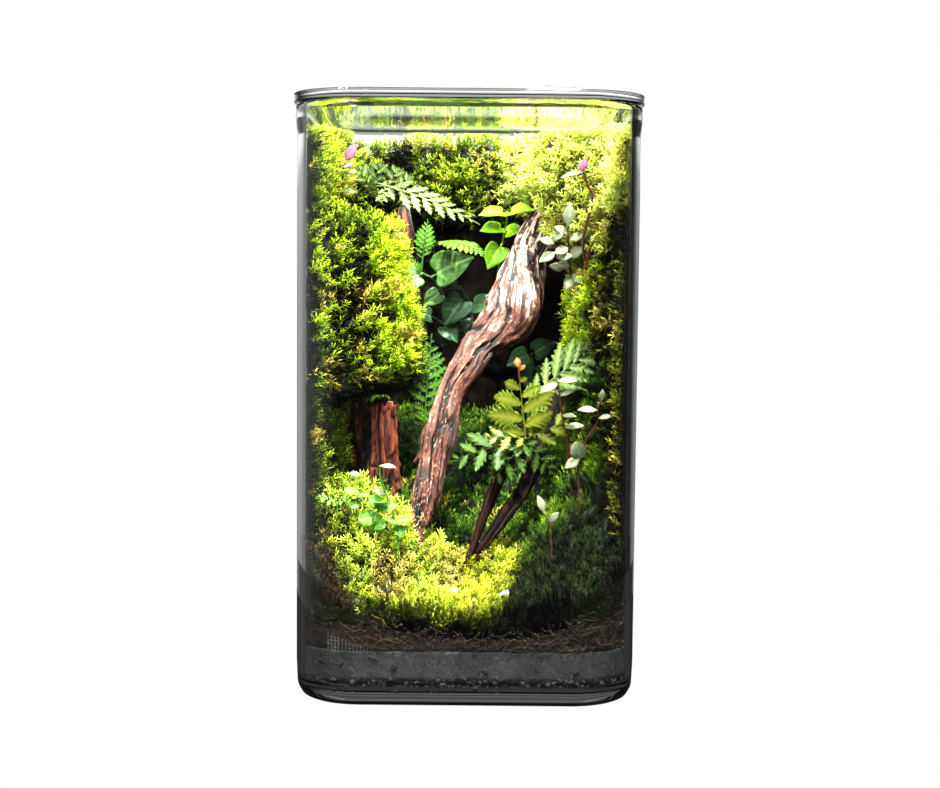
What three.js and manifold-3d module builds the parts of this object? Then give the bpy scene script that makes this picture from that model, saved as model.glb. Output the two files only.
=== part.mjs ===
// A planted glass terrarium: a tall rounded-square jar with a loose glass lid, layers of drainage gravel,
// separator mesh and soil, a peat bank against the left, back and right walls, moss cushions on the bank and
// on the floor, driftwood, bark, ferns, climbing fig and small creepers.
// Millimetres, +Z up, origin at the middle of the jar's foot. The open glade faces -Y, the viewing side.
import * as THREE from "three";
import { mergeVertices } from "three/addons/utils/BufferGeometryUtils.js";
import { ConvexGeometry } from "three/addons/geometries/ConvexGeometry.js";
import Module from "manifold-3d";

const wasm = await Module();
wasm.setup();

// ---- Driving dimensions -------------------------------------------------------------------------
const GAP = 0.3; // clearance between pieces that touch
const JAR_HEIGHT = 343; // foot to rim
const RIM_HALF = 100; // half the width across the beaded rim
const CORNER_CENTRE = 60; // how far the corner arcs' centres lie from the middle, along x and along y
const CORNER_STEPS = 5; // chords in each rounded corner
const INNER_HALF = 94; // half the clear width inside the walls
const BASE_THICK = 8; // thickness of the jar's base
const LID_THICK = 6;
const LID_HALF = 101;
const LID_RIB_OUTER = 86; // half width of the locating rib under the lid
const LID_RIB_WIDTH = 4;
const LID_RIB_DEPTH = 3.7;
const FILL_HALF = INNER_HALF - 0.6; // half width of everything packed against the glass
const GRAVEL_TOP = 31;
const MESH_THICK = 0.8; // the separator's thickness
const SOIL_FOOT = GRAVEL_TOP + MESH_THICK + 2 * GAP;
const BANK_TOP = 324; // top of the peat bank
const BANK_BASE = 7; // least thickness of the peat bank
const MOSS_DEPTH = 9; // a moss cushion, root mat to tips
const TUFT = 2.2; // how far moss tips stand out of a cushion's mean face
const BLADE = 0.7; // thickness of every leaf blade
const WOOD_ROOM = 0.5; // clearance round wood that is set in peat, soil and moss
const OUTSIDE = 150; // a distance from the middle that is past the glass in every direction

// ---- Small helpers ------------------------------------------------------------------------------
const vec = (x, y, z) => new THREE.Vector3(x, y, z);
const radians = THREE.MathUtils.degToRad;
const smooth = THREE.MathUtils.smoothstep;

/** A repeatable number from 0 to 1 for a pair of counters and a seed. */
function hash(i, j, seed) {
  const s = Math.sin(i * 127.1 + j * 311.7 + seed * 74.7) * 43758.5453;
  return s - Math.floor(s);
}

/** Straight-line reading of a rising list of [position, value] pairs, level beyond its ends. */
function along(pairs, t) {
  const k = pairs.findIndex(([position]) => position >= t);
  if (k === 0) return pairs[0][1];
  if (k < 0) return pairs[pairs.length - 1][1];
  const [t0, v0] = pairs[k - 1];
  const [t1, v1] = pairs[k];
  return v0 + ((v1 - v0) * (t - t0)) / (t1 - t0);
}

/** A grid of points: one row for each i, one column for each j. */
const gridOf = (rows, columns, point) =>
  Array.from({ length: rows }, (_, i) => Array.from({ length: columns }, (__, j) => point(i, j)));

/** A closed solid from points and triangles, turned so that its faces point out. */
function closed(points, faces) {
  const vertProperties = Float32Array.from(points.flatMap((p) => [p.x, p.y, p.z]));
  const triVerts = Uint32Array.from(faces.flat());
  const made = new wasm.Manifold(new wasm.Mesh({ numProp: 3, vertProperties, triVerts }));
  if (made.volume() > 0) return made;
  return closed(points, faces.map(([a, b, c]) => [a, c, b]));
}

/** A three.js geometry as a solid. */
function solidOf(geometry) {
  const bare = new THREE.BufferGeometry().setAttribute("position", geometry.getAttribute("position"));
  if (geometry.index) bare.setIndex(geometry.index);
  const merged = mergeVertices(bare, 1e-4);
  const vertProperties = new Float32Array(merged.attributes.position.array);
  const triVerts = new Uint32Array(merged.index.array);
  return new wasm.Manifold(new wasm.Mesh({ numProp: 3, vertProperties, triVerts }));
}

/** A solid as a three.js geometry. */
function geometryOf(solid) {
  const mesh = solid.getMesh();
  return new THREE.BufferGeometry()
    .setAttribute("position", new THREE.BufferAttribute(mesh.vertProperties, 3))
    .setIndex(new THREE.BufferAttribute(mesh.triVerts, 1));
}

const fuse = (solids) => solids.reduce((a, b) => a.add(b));
const carve = (solid, cutters) => cutters.reduce((a, b) => a.subtract(b), solid);

/** The largest body of a solid: loose scraps left by a cut are dropped. */
const largest = (solid) => solid.decompose().reduce((a, b) => (b.volume() > a.volume() ? b : a));

/** A body between two grids of points of one size, closed round its border, split alike on both faces. */
function skin(front, back) {
  const rows = front.length;
  const columns = front[0].length;
  const points = [...front.flat(), ...back.flat()];
  const behind = rows * columns;
  const at = (i, j) => i * columns + j;
  const faces = [];
  const bothFaces = (a, b, c) => faces.push([a, b, c], [behind + a, behind + c, behind + b]);
  const wall = (a, b) => faces.push([a, b, behind + b], [a, behind + b, behind + a]);
  for (let i = 0; i + 1 < rows; i++) {
    for (let j = 0; j + 1 < columns; j++) {
      const [a, b, c, d] = [at(i, j), at(i + 1, j), at(i + 1, j + 1), at(i, j + 1)];
      const split = (i + j) % 2 ? [[a, b, c], [a, c, d]] : [[a, b, d], [b, c, d]];
      split.forEach((corners) => bothFaces(...corners));
    }
  }
  for (let j = 0; j + 1 < columns; j++) {
    wall(at(0, j), at(0, j + 1));
    wall(at(rows - 1, j + 1), at(rows - 1, j));
  }
  for (let i = 0; i + 1 < rows; i++) {
    wall(at(i + 1, 0), at(i, 0));
    wall(at(i, columns - 1), at(i + 1, columns - 1));
  }
  return closed(points, faces);
}

/** Rings of equal point count joined into a tube, its two ends closed to a middle point. */
function stack(rings, firstMiddle, lastMiddle) {
  const n = rings[0].length;
  const points = [...rings.flat(), firstMiddle, lastMiddle];
  const top = (rings.length - 1) * n;
  const [first, last] = [points.length - 2, points.length - 1];
  const faces = [];
  for (let i = 0; i < n; i++) {
    const next = (i + 1) % n;
    for (let k = 0; k < top; k += n) {
      faces.push([k + i, k + next, k + next + n], [k + i, k + next + n, k + i + n]);
    }
    faces.push([next, i, first], [top + i, top + next, last]);
  }
  return closed(points, faces);
}

/** The mean of some points. */
const middleOf = (ring) => ring.reduce((sum, p) => sum.add(p), vec(0, 0, 0)).divideScalar(ring.length);

// ---- Plan shape: a square with rounded corners --------------------------------------------------
const CORNER_SIGNS = [[1, 1], [-1, 1], [-1, -1], [1, -1]];

/** A ring of the plan at a height, its corner arcs concentric at every width. */
function planRing(half, z) {
  const radius = half - CORNER_CENTRE;
  return CORNER_SIGNS.flatMap(([sx, sy], corner) =>
    Array.from({ length: CORNER_STEPS + 1 }, (_, k) => {
      const angle = radians(90 * (corner + k / CORNER_STEPS));
      const [x, y] = [sx * CORNER_CENTRE, sy * CORNER_CENTRE];
      return vec(x + radius * Math.cos(angle), y + radius * Math.sin(angle), z);
    }),
  );
}

/** How far the plan's edge lies from the middle, in a direction given in degrees. */
function planReach(half, degrees) {
  const [c, s] = [Math.abs(Math.cos(radians(degrees))), Math.abs(Math.sin(radians(degrees)))];
  const flat = half / Math.max(c, s);
  if (Math.min(c, s) * flat <= CORNER_CENTRE) return flat;
  const toCentre = CORNER_CENTRE * (c + s);
  return toCentre + Math.sqrt(toCentre ** 2 - 2 * CORNER_CENTRE ** 2 + (half - CORNER_CENTRE) ** 2);
}

/** A profile of [half width, height] carried round the plan, as a lathe carries one round a circle. */
function planSolid(profile) {
  const rings = profile.map(([half, z]) => planRing(half, z));
  return stack(rings, vec(0, 0, profile[0][1]), vec(0, 0, profile[profile.length - 1][1]));
}

// ---- Glass --------------------------------------------------------------------------------------
/** The jar: pushed-up foot, drafted walls, beaded rim, thick base. */
function jar() {
  return planSolid([
    [68, 2.5],
    [78, 0],
    [88, 0],
    [94, 2.4],
    [97.2, 8],
    [97.9, 22],
    [99, JAR_HEIGHT - 17],
    [RIM_HALF, JAR_HEIGHT - 9],
    [RIM_HALF, JAR_HEIGHT - 3],
    [RIM_HALF - 1.2, JAR_HEIGHT],
    [INNER_HALF + 1, JAR_HEIGHT],
    [INNER_HALF, JAR_HEIGHT - 2],
    [INNER_HALF, BASE_THICK + 5],
    [INNER_HALF - 3, BASE_THICK + 1.4],
    [INNER_HALF - 10, BASE_THICK],
  ]);
}

/** The lid: a plate with eased edges and a low square rib on its underside. */
function lid() {
  const under = JAR_HEIGHT + GAP / 3;
  const top = JAR_HEIGHT + LID_THICK;
  const ribInner = LID_RIB_OUTER - LID_RIB_WIDTH;
  return planSolid([
    [ribInner, under],
    [ribInner, under - LID_RIB_DEPTH],
    [LID_RIB_OUTER, under - LID_RIB_DEPTH],
    [LID_RIB_OUTER, under],
    [LID_HALF - 1.2, under],
    [LID_HALF, under + 1.3],
    [LID_HALF, top - 1.4],
    [LID_HALF - 1.5, top],
  ]);
}

// ---- Drainage gravel and its separator ----------------------------------------------------------
/** Drainage gravel, its face against the glass pitted by the stones. */
function gravel() {
  const foot = BASE_THICK + GAP;
  const levels = [foot + 6, 20, 26, GRAVEL_TOP];
  const pitted = levels.map((z, k) =>
    planRing(FILL_HALF - GAP, 0).map((p, i) => p.multiplyScalar(1 - 0.012 * hash(i, k, 3)).setZ(z)),
  );
  const rings = [planRing(INNER_HALF - 10.6, foot), planRing(INNER_HALF - 3.4, foot + 2), ...pitted];
  return stack(rings, vec(0, 0, foot), vec(0, 0, GRAVEL_TOP));
}

// The separator's turned-up corner at the front glass.
const FLAP = { left: -77, right: -52, height: 9, low: 1.4 };

/** The turned-up corner of the separator: a strip against the glass that falls away to its right. */
function separatorFlap(grow) {
  const steps = 6;
  const foot = GRAVEL_TOP + GAP;
  const face = (inset) =>
    gridOf(2, steps + 1, (row, k) => {
      const x = FLAP.left - grow + ((FLAP.right - FLAP.left + 2 * grow) * k) / steps;
      const radius = FILL_HALF - inset - CORNER_CENTRE;
      const past = Math.min(0, x + CORNER_CENTRE);
      const height = FLAP.height + (FLAP.low - FLAP.height) * (k / steps);
      return vec(x, -CORNER_CENTRE - Math.sqrt(radius ** 2 - past ** 2), foot + row * (height + grow));
    });
  return skin(face(0.2 - grow), face(0.2 + MESH_THICK + grow));
}

/** The separator mesh between gravel and soil. */
function separator() {
  const foot = GRAVEL_TOP + GAP;
  const sheet = planSolid([
    [FILL_HALF - 0.2, foot],
    [FILL_HALF - 0.2, foot + MESH_THICK],
  ]);
  return sheet.add(separatorFlap(0));
}

// ---- Soil ---------------------------------------------------------------------------------------
// [y, height] along the glade's middle line, and [y, rise] of the soil at the left and right walls.
const SOIL_MIDDLE = [
  [-94, 43], [-66, 66], [-56, 72], [-35, 80], [-10, 86], [15, 112], [35, 134], [60, 150], [94, 154],
];
const SOIL_LEFT = [[-94, 9], [-75, 14], [-58, 28], [-45, 42], [0, 34], [60, 6], [94, 4]];
const SOIL_RIGHT = [[-94, 14], [-62, 22], [-40, 60], [0, 50], [60, 8], [94, 4]];
const SOIL_CELLS = 10; // facets of the soil's surface, each way

/** The soil's surface: a valley that climbs from the front glass to the back and up to both sides. */
function soilHeight(x, y) {
  const left = along(SOIL_LEFT, y) * smooth(-x, -5, 85);
  const right = along(SOIL_RIGHT, y) * smooth(x, 22, 92);
  return along(SOIL_MIDDLE, y) + left + right;
}

/** The soil before it meets the glass, raised by a lift where it is used to cut what stands on it. */
function soilBlock(lift) {
  const reach = FILL_HALF + 4;
  const at = (k) => -reach + (2 * reach * k) / SOIL_CELLS;
  const surface = gridOf(SOIL_CELLS + 1, SOIL_CELLS + 1, (i, j) =>
    vec(at(j), at(i), soilHeight(at(j), at(i)) + lift),
  );
  const foot = surface.map((row) => row.map((p) => vec(p.x, p.y, SOIL_FOOT - 10)));
  return skin(surface, foot);
}

/** The height of the floor moss's mean face, for what stands on it. */
const floorTop = (x, y) => soilHeight(x, y) + MOSS_DEPTH;

// ---- The peat bank: a curtain round the left, back and right walls ------------------------------
const BANK_START = -40; // degrees, anticlockwise from +x: the bank's right front end
const BANK_END = 219; // its left front end
const BANK_LEVELS = [60, 130, 174, 184, 220, 256, 272, 284, 302, BANK_TOP];
const BANK_COLUMNS = 20;
// Swellings of the bank into the glade: direction and spread in degrees, lowest and highest level, depth, and
// how much deeper they grow for each millimetre down from their middle height.
const SWELLINGS = [
  { at: 180, spread: 38, low: 179, high: 278, depth: 48, lean: 0.2 }, // left column
  { at: 5, spread: 30, low: 96, high: 340, depth: 17, lean: 0 }, // right column
  { at: 14, spread: 22, low: 266, high: 345, depth: 12, lean: 0 }, // right shoulder
  { at: 38, spread: 24, low: 290, high: 345, depth: 36, lean: 0 }, // right brow
  { at: 104, spread: 44, low: 282, high: 345, depth: 9, lean: 0 }, // back brow
];

/** The bank's thickness at a direction and height. */
function bankThickness(degrees, z) {
  const ends = smooth(degrees, BANK_START, BANK_START + 14) * (1 - smooth(degrees, BANK_END - 14, BANK_END));
  const swell = SWELLINGS.reduce((sum, { at, spread, low, high, depth, lean }) => {
    const across = Math.exp(-(((degrees - at) / spread) ** 2));
    const upward = smooth(z, low - 5, low + 5) * (1 - smooth(z, high - 7, high + 7));
    return sum + across * upward * (depth + lean * ((low + high) / 2 - z));
  }, 0);
  const uneven = 1.6 * Math.sin(degrees / 7.3 + z / 21) + 1.4 * Math.sin(z / 9.7 - degrees / 12);
  return Math.max(1.5, (BANK_BASE + swell + uneven) * (0.2 + 0.8 * ends));
}

const polar = (radius, degrees, z) =>
  vec(radius * Math.cos(radians(degrees)), radius * Math.sin(radians(degrees)), z);
const bankFace = (degrees, z) => polar(planReach(FILL_HALF, degrees) - bankThickness(degrees, z), degrees, z);

/** The direction straight out of the bank's face, towards the glade. */
function bankNormal(degrees, z) {
  const up = bankFace(degrees, z + 3).sub(bankFace(degrees, z - 3));
  const round = bankFace(degrees + 2, z).sub(bankFace(degrees - 2, z));
  return up.cross(round).normalize();
}

/** The bank before it meets the glass, grown by a clearance where it is used to cut what leans on it. */
function bankBlock(grow) {
  const [top, last] = [BANK_LEVELS.length - 1, BANK_COLUMNS - 1];
  const ends = new Map([[0, -grow], [last, grow]]);
  const degrees = (j) => BANK_START + ((BANK_END - BANK_START) * j) / last + (ends.get(j) ?? 0);
  const face = gridOf(BANK_LEVELS.length, BANK_COLUMNS, (i, j) => {
    const outward = bankNormal(degrees(j), BANK_LEVELS[i]);
    const p = bankFace(degrees(j), BANK_LEVELS[i]).addScaledVector(outward, 1.3 * grow);
    return i === top ? p.setZ(BANK_TOP + grow) : p;
  });
  return skin(face, face.map((row) => row.map((p, j) => polar(OUTSIDE, degrees(j), p.z))));
}

// ---- Moss ---------------------------------------------------------------------------------------
/** How full a cushion is at a place on its patch, from 0.2 at the border to 1. */
function fullness(s, t) {
  const edge = (share) => Math.min(share, 1 - share, 0.18) / 0.18;
  return 0.2 + 0.8 * Math.sqrt(edge(s) * edge(t));
}

/** How far a tuft at a grid point stands out: tips and hollows by turns, with a seeded unevenness. */
const tuft = (i, j, seed) => TUFT * (((i + j) % 2 ? 1 : -0.7) + 1.1 * (hash(i, j, seed) - 0.5));

// The rows of a capped cushion over the bank's top, in shares of the bank's thickness.
const CAP_ROWS = [0.3, 0.65, 1.05];

/** A moss cushion on the bank. A capped one runs on over the bank's top to the glass. */
function bankMoss({ from, to, low, high, across, up, capped = false }, seed) {
  const rows = up + (capped ? CAP_ROWS.length : 0);
  const at = (i, j, stand) => {
    const s = j / (across - 1);
    const degrees = from + (to - from) * s;
    const foot = low[0] + (low[1] - low[0]) * s;
    const z = foot + ((high - foot) * Math.min(i, up - 1)) / (up - 1);
    const waved = capped && i >= up - 1 ? z : z + 3 * Math.sin(degrees / 8);
    const face = bankFace(degrees, waved);
    if (i < up) return face.addScaledVector(bankNormal(degrees, waved), stand);
    const back = bankThickness(degrees, waved) * CAP_ROWS[i - up];
    return face.addScaledVector(polar(1, degrees, 0), back).setZ(BANK_TOP + stand);
  };
  const outer = gridOf(rows, across, (i, j) => {
    const full = fullness(j / (across - 1), capped ? Math.min(0.5, i / (rows - 1)) : i / (rows - 1));
    return at(i, j, 1.5 + (MOSS_DEPTH - 1.5) * full + tuft(i, j, seed) * full);
  });
  return skin(outer, gridOf(rows, across, (i, j) => at(i, j, -3)));
}

/** A moss cushion on the soil, over a patch of the floor in x and y, grown where it cuts what leans on it. */
function floorMoss({ x, y, across, deep, depth }, seed, grow) {
  const at = (i, j, stand) => {
    const px = x[0] - grow + ((x[1] - x[0] + 2 * grow) * j) / (across - 1);
    const py = y[0] - grow + ((y[1] - y[0] + 2 * grow) * i) / (deep - 1);
    const [wx, wy] = [px + 3 * Math.sin(py / 15), py + 3 * Math.sin(px / 13)];
    return vec(wx, wy, soilHeight(wx, wy) + stand);
  };
  const outer = gridOf(deep, across, (i, j) => {
    const full = fullness(j / (across - 1), i / (deep - 1));
    return at(i, j, 1.5 + 2 * grow + (depth - 1.5) * full + tuft(i, j, seed) * full);
  });
  return skin(outer, gridOf(deep, across, (i, j) => at(i, j, -4)));
}

const FRONT = { y: [-104, -37.6], deep: 8, depth: 10 }; // the row of cushions at the front glass
const FLOOR_PATCHES = {
  moss_front_left: { ...FRONT, x: [-104, -15], across: 11, colour: 0x86a81c },
  moss_front_middle: { ...FRONT, x: [-14.2, 32], across: 6, colour: 0xa9a83a },
  moss_front_right: { ...FRONT, x: [32.8, 104], across: 9, colour: 0x5f8f1c },
  moss_glade: { x: [-86, 72], y: [-36.8, 70], across: 12, deep: 8, depth: 8, colour: 0x4f7418 },
};

// Cushions on the bank: from and to in degrees, the lower edge's height at each, and the upper edge's height.
const CAP = { high: 322, capped: true };
const BANK_PATCHES = {
  moss_left_column: { from: 124, to: 214, low: [176, 172], high: 282, across: 11, up: 8, colour: 0x7aa51c },
  moss_left_foot: { from: 152, to: 214, low: [126, 120], high: 162, across: 7, up: 5, colour: 0x5d8a1e },
  moss_left_top: { ...CAP, from: 128, to: 204, low: [294, 296], across: 9, up: 4, colour: 0x789a22 },
  moss_back_top: { ...CAP, from: 74, to: 123, low: [283, 281], across: 8, up: 4, colour: 0x6c9a1c },
  moss_right_brow: { ...CAP, from: 24, to: 73, low: [272, 290], across: 8, up: 5, colour: 0xa4bb33 },
  moss_right_shoulder: { ...CAP, from: -28, to: 22.4, low: [262, 266], across: 7, up: 5, colour: 0xc3d24a },
  moss_right_column: { from: -26, to: 18, low: [198, 200], high: 246, across: 6, up: 5, colour: 0x8fa32a },
  moss_right_foot: { from: -32, to: 22, low: [122, 126], high: 188, across: 7, up: 6, colour: 0x3f6a18 },
};

// ---- Wood ---------------------------------------------------------------------------------------
/** A branch through [x, y, z, width] stations: fluted, and flatter from front to back. */
function branch(stations, { sides, flute, flatness, seed, grow = 0 }) {
  const points = stations.map(([x, y, z]) => vec(x, y, z));
  const last = points.length - 1;
  const rings = points.map((p, k) => {
    const ahead = points[Math.min(k + 1, last)].clone().sub(points[Math.max(k - 1, 0)]).normalize();
    const side = ahead.clone().cross(vec(0, 1, 0)).normalize();
    const depth = ahead.clone().cross(side).normalize();
    return Array.from({ length: sides }, (_, i) => {
      const a = (2 * Math.PI * i) / sides;
      const groove = 1 + flute * (Math.sin(3 * a + seed + k * 0.35) + 0.6 * (hash(i, k >> 1, seed) - 0.5));
      const radius = (stations[k][3] / 2) * groove + grow;
      return p
        .clone()
        .addScaledVector(side, radius * Math.cos(a))
        .addScaledVector(depth, radius * flatness * Math.sin(a));
    });
  });
  return stack(rings, middleOf(rings[0]), middleOf(rings[last]));
}

/** A slim three-sided stem through points, its radius going from one value to another. */
function tube(points, radiusFrom, radiusTo) {
  const step = (radiusTo - radiusFrom) / (points.length - 1);
  const stations = points.map(([x, y, z], k) => [x, y, z, 2 * (radiusFrom + step * k)]);
  return branch(stations, { sides: 3, flute: 0, flatness: 1, seed: 0 });
}

// Driftwood: [x, y, z, width across the view], from the top, where it is set in the bank, to its foot.
const DRIFTWOOD = [
  [58, 56, 313, 9], [52, 46, 299, 10], [45.5, 40, 285, 12], [39, 33, 269, 17], [36, 26, 254, 24],
  [32.8, 18, 239, 29], [30, 12, 228, 34], [26, 8, 219, 33], [18, 3, 211, 26], [7, -3, 200.5, 20],
  [0.5, -9, 190.5, 18],
  [-7, -14, 180, 15], [-11.5, -20, 169, 14.4], [-14, -26, 157.5, 17], [-17.3, -31, 147.5, 18.6],
  [-20, -36, 135.5, 15.6], [-22.3, -42, 124, 16], [-24.2, -46, 115, 15], [-26.6, -51, 103, 12],
  [-27.9, -54, 95, 8.6], [-27.5, -58, 84, 4], [-27, -59, 77, 2.2],
];
const DRIFTWOOD_PRONG = [[40, 22, 256, 9], [48, 31, 270, 9], [54, 38, 283, 8.6], [61, 47, 298, 8]];
const DRIFTWOOD_SPLINTER = [[-16, -32, 152, 7], [-22, -35, 145, 6], [-31, -38, 134, 1.6]];

/** The main driftwood branch with its second prong and a torn splinter. */
function driftwood(grow) {
  return fuse([
    branch(DRIFTWOOD, { sides: 9, flute: 0.13, flatness: 0.72, seed: 2, grow }),
    branch(DRIFTWOOD_PRONG, { sides: 6, flute: 0.1, flatness: 0.9, seed: 5, grow }),
    branch(DRIFTWOOD_SPLINTER, { sides: 5, flute: 0, flatness: 0.7, seed: 1, grow }),
  ]);
}

// The dark forked root on the right: its long arm leans on the bank, its short one leaves it half way up.
const ROOT_LONG = [
  [58.5, -16, 184, 5], [57, -18, 179, 7], [51, -26, 160, 8.6], [43.8, -34, 139.5, 9.4], [33.3, -42, 118, 9.6],
  [23.3, -49, 104.6, 8.4], [13.3, -55.5, 92, 6.4], [5, -60, 82, 4.4], [1, -62, 75, 2.6],
];
const ROOT_SHORT = [
  [41, -35, 140, 6], [30, -37, 139, 7], [22.9, -40, 134, 7.4], [17.4, -44, 122.6, 7.2],
  [12.4, -50, 109.3, 6.4], [7.6, -56, 96.7, 5], [4.4, -60.5, 87, 4], [-1, -66, 75, 2.6], [-3, -68, 69, 1.8],
];

/** The forked root. */
function forkedRoot(grow) {
  const finish = { flute: 0.12, flatness: 0.8, grow };
  return fuse([
    branch(ROOT_LONG, { ...finish, sides: 6, seed: 4 }),
    branch(ROOT_SHORT, { ...finish, sides: 6, seed: 7 }),
  ]);
}

const STUMP = { x: -55, y: -16, foot: 100, top: 163, width: 30, depth: 20, sides: 16, levels: 5 };

/** The stump of red bark: upright plates that end at unequal heights round a sunken middle. */
function barkStump(grow) {
  const rings = gridOf(STUMP.levels, STUMP.sides, (k, i) => {
    const plate = i >> 1;
    const share = k / (STUMP.levels - 1);
    const a = (2 * Math.PI * i) / STUMP.sides;
    const bulge = 1 + (i % 2 ? 0.1 : -0.1) + 0.16 * (hash(plate, 1, 9) - 0.5) + 0.06 * (hash(i, k, 5) - 0.5);
    const radius = 0.5 * bulge * (1 - 0.1 * share);
    const ragged = k === STUMP.levels - 1 ? 12 * hash(plate, 2, 6) : 0;
    const z = STUMP.foot - grow + (STUMP.top - STUMP.foot + 2 * grow) * share + ragged;
    const [rx, ry] = [STUMP.width * radius + grow, STUMP.depth * radius + grow];
    return vec(STUMP.x + rx * Math.cos(a), STUMP.y + ry * Math.sin(a), z);
  });
  return stack(rings, vec(STUMP.x, STUMP.y, STUMP.foot - grow), vec(STUMP.x, STUMP.y, STUMP.top - 6 + grow));
}

const CHIP = [[-40, 60, 252, 6], [-40, 55, 260, 9], [-40, 53, 270, 10], [-41, 53, 280, 9], [-42, 56, 289, 6]];

/** The small bark chip in the upper left of the back wall. */
const barkChip = (grow) => branch(CHIP, { sides: 8, flute: 0.12, flatness: 0.6, seed: 3, grow });

// ---- Leaves -------------------------------------------------------------------------------------
// A form has an outline, a list of stations in shares of the blade's length: [place on the rib, place at the
// edge, half width]. Its fold is how far its halves rise from the rib. A form with no fold has no rib.
const HEART = {
  outline: [
    [0, 0, 0.025],
    [0.17, 0.17, 0.03],
    [0.24, 0.11, 0.33],
    [0.48, 0.42, 0.38],
    [0.8, 0.78, 0.19],
    [1, 1, 0.02],
  ],
  fold: 0.2,
};
const OVAL = { outline: [[0, 0, 0.05], [0.26, 0.26, 0.26], [0.6, 0.6, 0.27], [1, 1, 0.03]], fold: 0 };
const ROUND = { outline: [[0, 0, 0.08], [0.2, 0.2, 0.4], [0.6, 0.6, 0.44], [1, 1, 0.06]], fold: 0 };

/** A cut leaf's form: leaflets from foot to tip, widest at a share of the length, swept forward, toothed. */
function pinnate({ leaflets, width, peak = 0.3, sweep = 0.35, teeth = 1, fold = 0.1 }) {
  const step = 1 / (leaflets + 0.6);
  const outline = [[0, 0, 0.014]];
  for (let k = 0; k < leaflets; k++) {
    const start = step * k;
    const where = (k + 0.5) / leaflets;
    const rising = Math.min(1, 0.55 + (0.45 * where) / peak);
    const falling = Math.min(1, ((1 - where) / (1 - peak)) ** 0.8 + 0.12);
    const size = width * rising * falling;
    const lean = sweep * size;
    outline.push([start + 0.02 * step, start + 0.02 * step, 0.018]);
    if (teeth > 1) outline.push([start + 0.25 * step, start + 0.1 * step + 0.5 * lean, 0.62 * size]);
    outline.push([start + 0.5 * step, start + 0.45 * step + lean, size]);
    if (teeth > 0) outline.push([start + 0.72 * step, start + 0.78 * step + 0.62 * lean, 0.58 * size]);
  }
  outline.push([1 - step / 2, 1 - step / 2, 0.02], [1, 1, 0.008]);
  return { outline, fold };
}

/** The convex solid round some points. */
const hull = (points) => solidOf(new ConvexGeometry(points));

/** The pockets that keep moss off a blade: one for each stretch along it, as wide as its outline is there. */
function leafPockets(outline, place, length) {
  const stretches = Math.ceil(length / 25);
  const [near, far] = [Math.min(...outline.map(([, edge]) => edge)) - 0.5 / length, 1 + 0.5 / length];
  return Array.from({ length: stretches }, (_, k) => {
    const ends = [k, k + 1].map((step) => near + ((far - near) * step) / stretches);
    const reaches = ([u, edge]) => Math.max(u, edge) >= ends[0] - 0.08 && Math.min(u, edge) <= ends[1] + 0.08;
    const wide = Math.max(...outline.filter(reaches).map(([, , out]) => out)) + 0.6 / length;
    return hull(ends.flatMap((u) => [-wide, 0, wide].flatMap((v) => [place(u, v, 1), place(u, v, -1)])));
  });
}

/** A blade creased along its rib: it leaves its root in a heading, faces one way and bends down by a curl. */
function leaf({ root, heading, facing, length, outline, fold, curl = 0.4 }) {
  const ahead = vec(...heading).normalize();
  const side = ahead.clone().cross(vec(...facing)).normalize();
  const up = side.clone().cross(ahead).normalize();
  const place = (u, v, off) => {
    const turn = curl * u;
    const normal = up.clone().multiplyScalar(Math.cos(turn)).addScaledVector(ahead, Math.sin(turn));
    return root
      .clone()
      .addScaledVector(ahead, (length * Math.sin(turn)) / curl)
      .addScaledVector(up, (-length * (1 - Math.cos(turn))) / curl)
      .addScaledVector(side, length * v)
      .addScaledVector(normal, length * Math.abs(v) * fold + off);
  };
  const across = (off) =>
    outline.map(([u, edge, out]) => {
      const rib = fold > 0 ? [place(u, 0, off)] : [];
      return [place(edge, -out, off), ...rib, place(edge, out, off)];
    });
  const solid = skin(across(BLADE / 2), across(-BLADE / 2));
  return { solid, pockets: leafPockets(outline, place, length) };
}

/** The square socket round one stretch of a stem. */
function socket(from, to, radius) {
  const [a, b] = [vec(...from), vec(...to)];
  const ahead = b.clone().sub(a).setLength(0.6);
  const width = 2 * 1.42 * (radius + 0.5);
  const ends = [a.sub(ahead), b.add(ahead)].map((p) => [p.x, p.y, p.z, width]);
  return branch(ends, { sides: 4, flute: 0, flatness: 1, seed: 0 });
}

/** A plant: stems and leaves fused to one body, with the pockets that keep moss and soil off each of them. */
class Plant {
  constructor(name, colour) {
    this.name = name;
    this.colour = colour;
    this.parts = [];
    this.pockets = [];
    this.line = [];
  }

  /** Adds one piece and its pockets. */
  add(solid, pockets) {
    this.parts.push(solid);
    this.pockets.push(...pockets);
    return this;
  }

  /** Adds a stem through points. Each of its stretches has a close pocket of its own. */
  stem(points, from = 0.8, to = 0.6) {
    this.line = points;
    const sockets = points.slice(1).map((p, k) => socket(points[k], p, from));
    return this.add(tube(points, from, to), sockets);
  }

  /** The place on the last stem that lies a number of stations along it. */
  on(station) {
    const k = Math.min(Math.floor(station), this.line.length - 2);
    return vec(...this.line[k]).lerp(vec(...this.line[k + 1]), station - k);
  }

  /** Adds leaves of one form: each starts on the last stem at a station. */
  leaves(form, list) {
    for (const { at, ...place } of list) {
      const { solid, pockets } = leaf({ ...form, ...place, root: this.on(at) });
      this.add(solid, pockets);
    }
    return this;
  }

  /** The fused plant. */
  body() {
    return largest(fuse(this.parts));
  }
}

const plants = [];

/** Starts a plant and keeps it. */
function plant(name, colour) {
  const made = new Plant(name, colour);
  plants.push(made);
  return made;
}

/** A point on the floor for a plant to root in, sunk into the soil. */
const rooted = (x, y) => [x, y, soilHeight(x, y) - 4];

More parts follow.
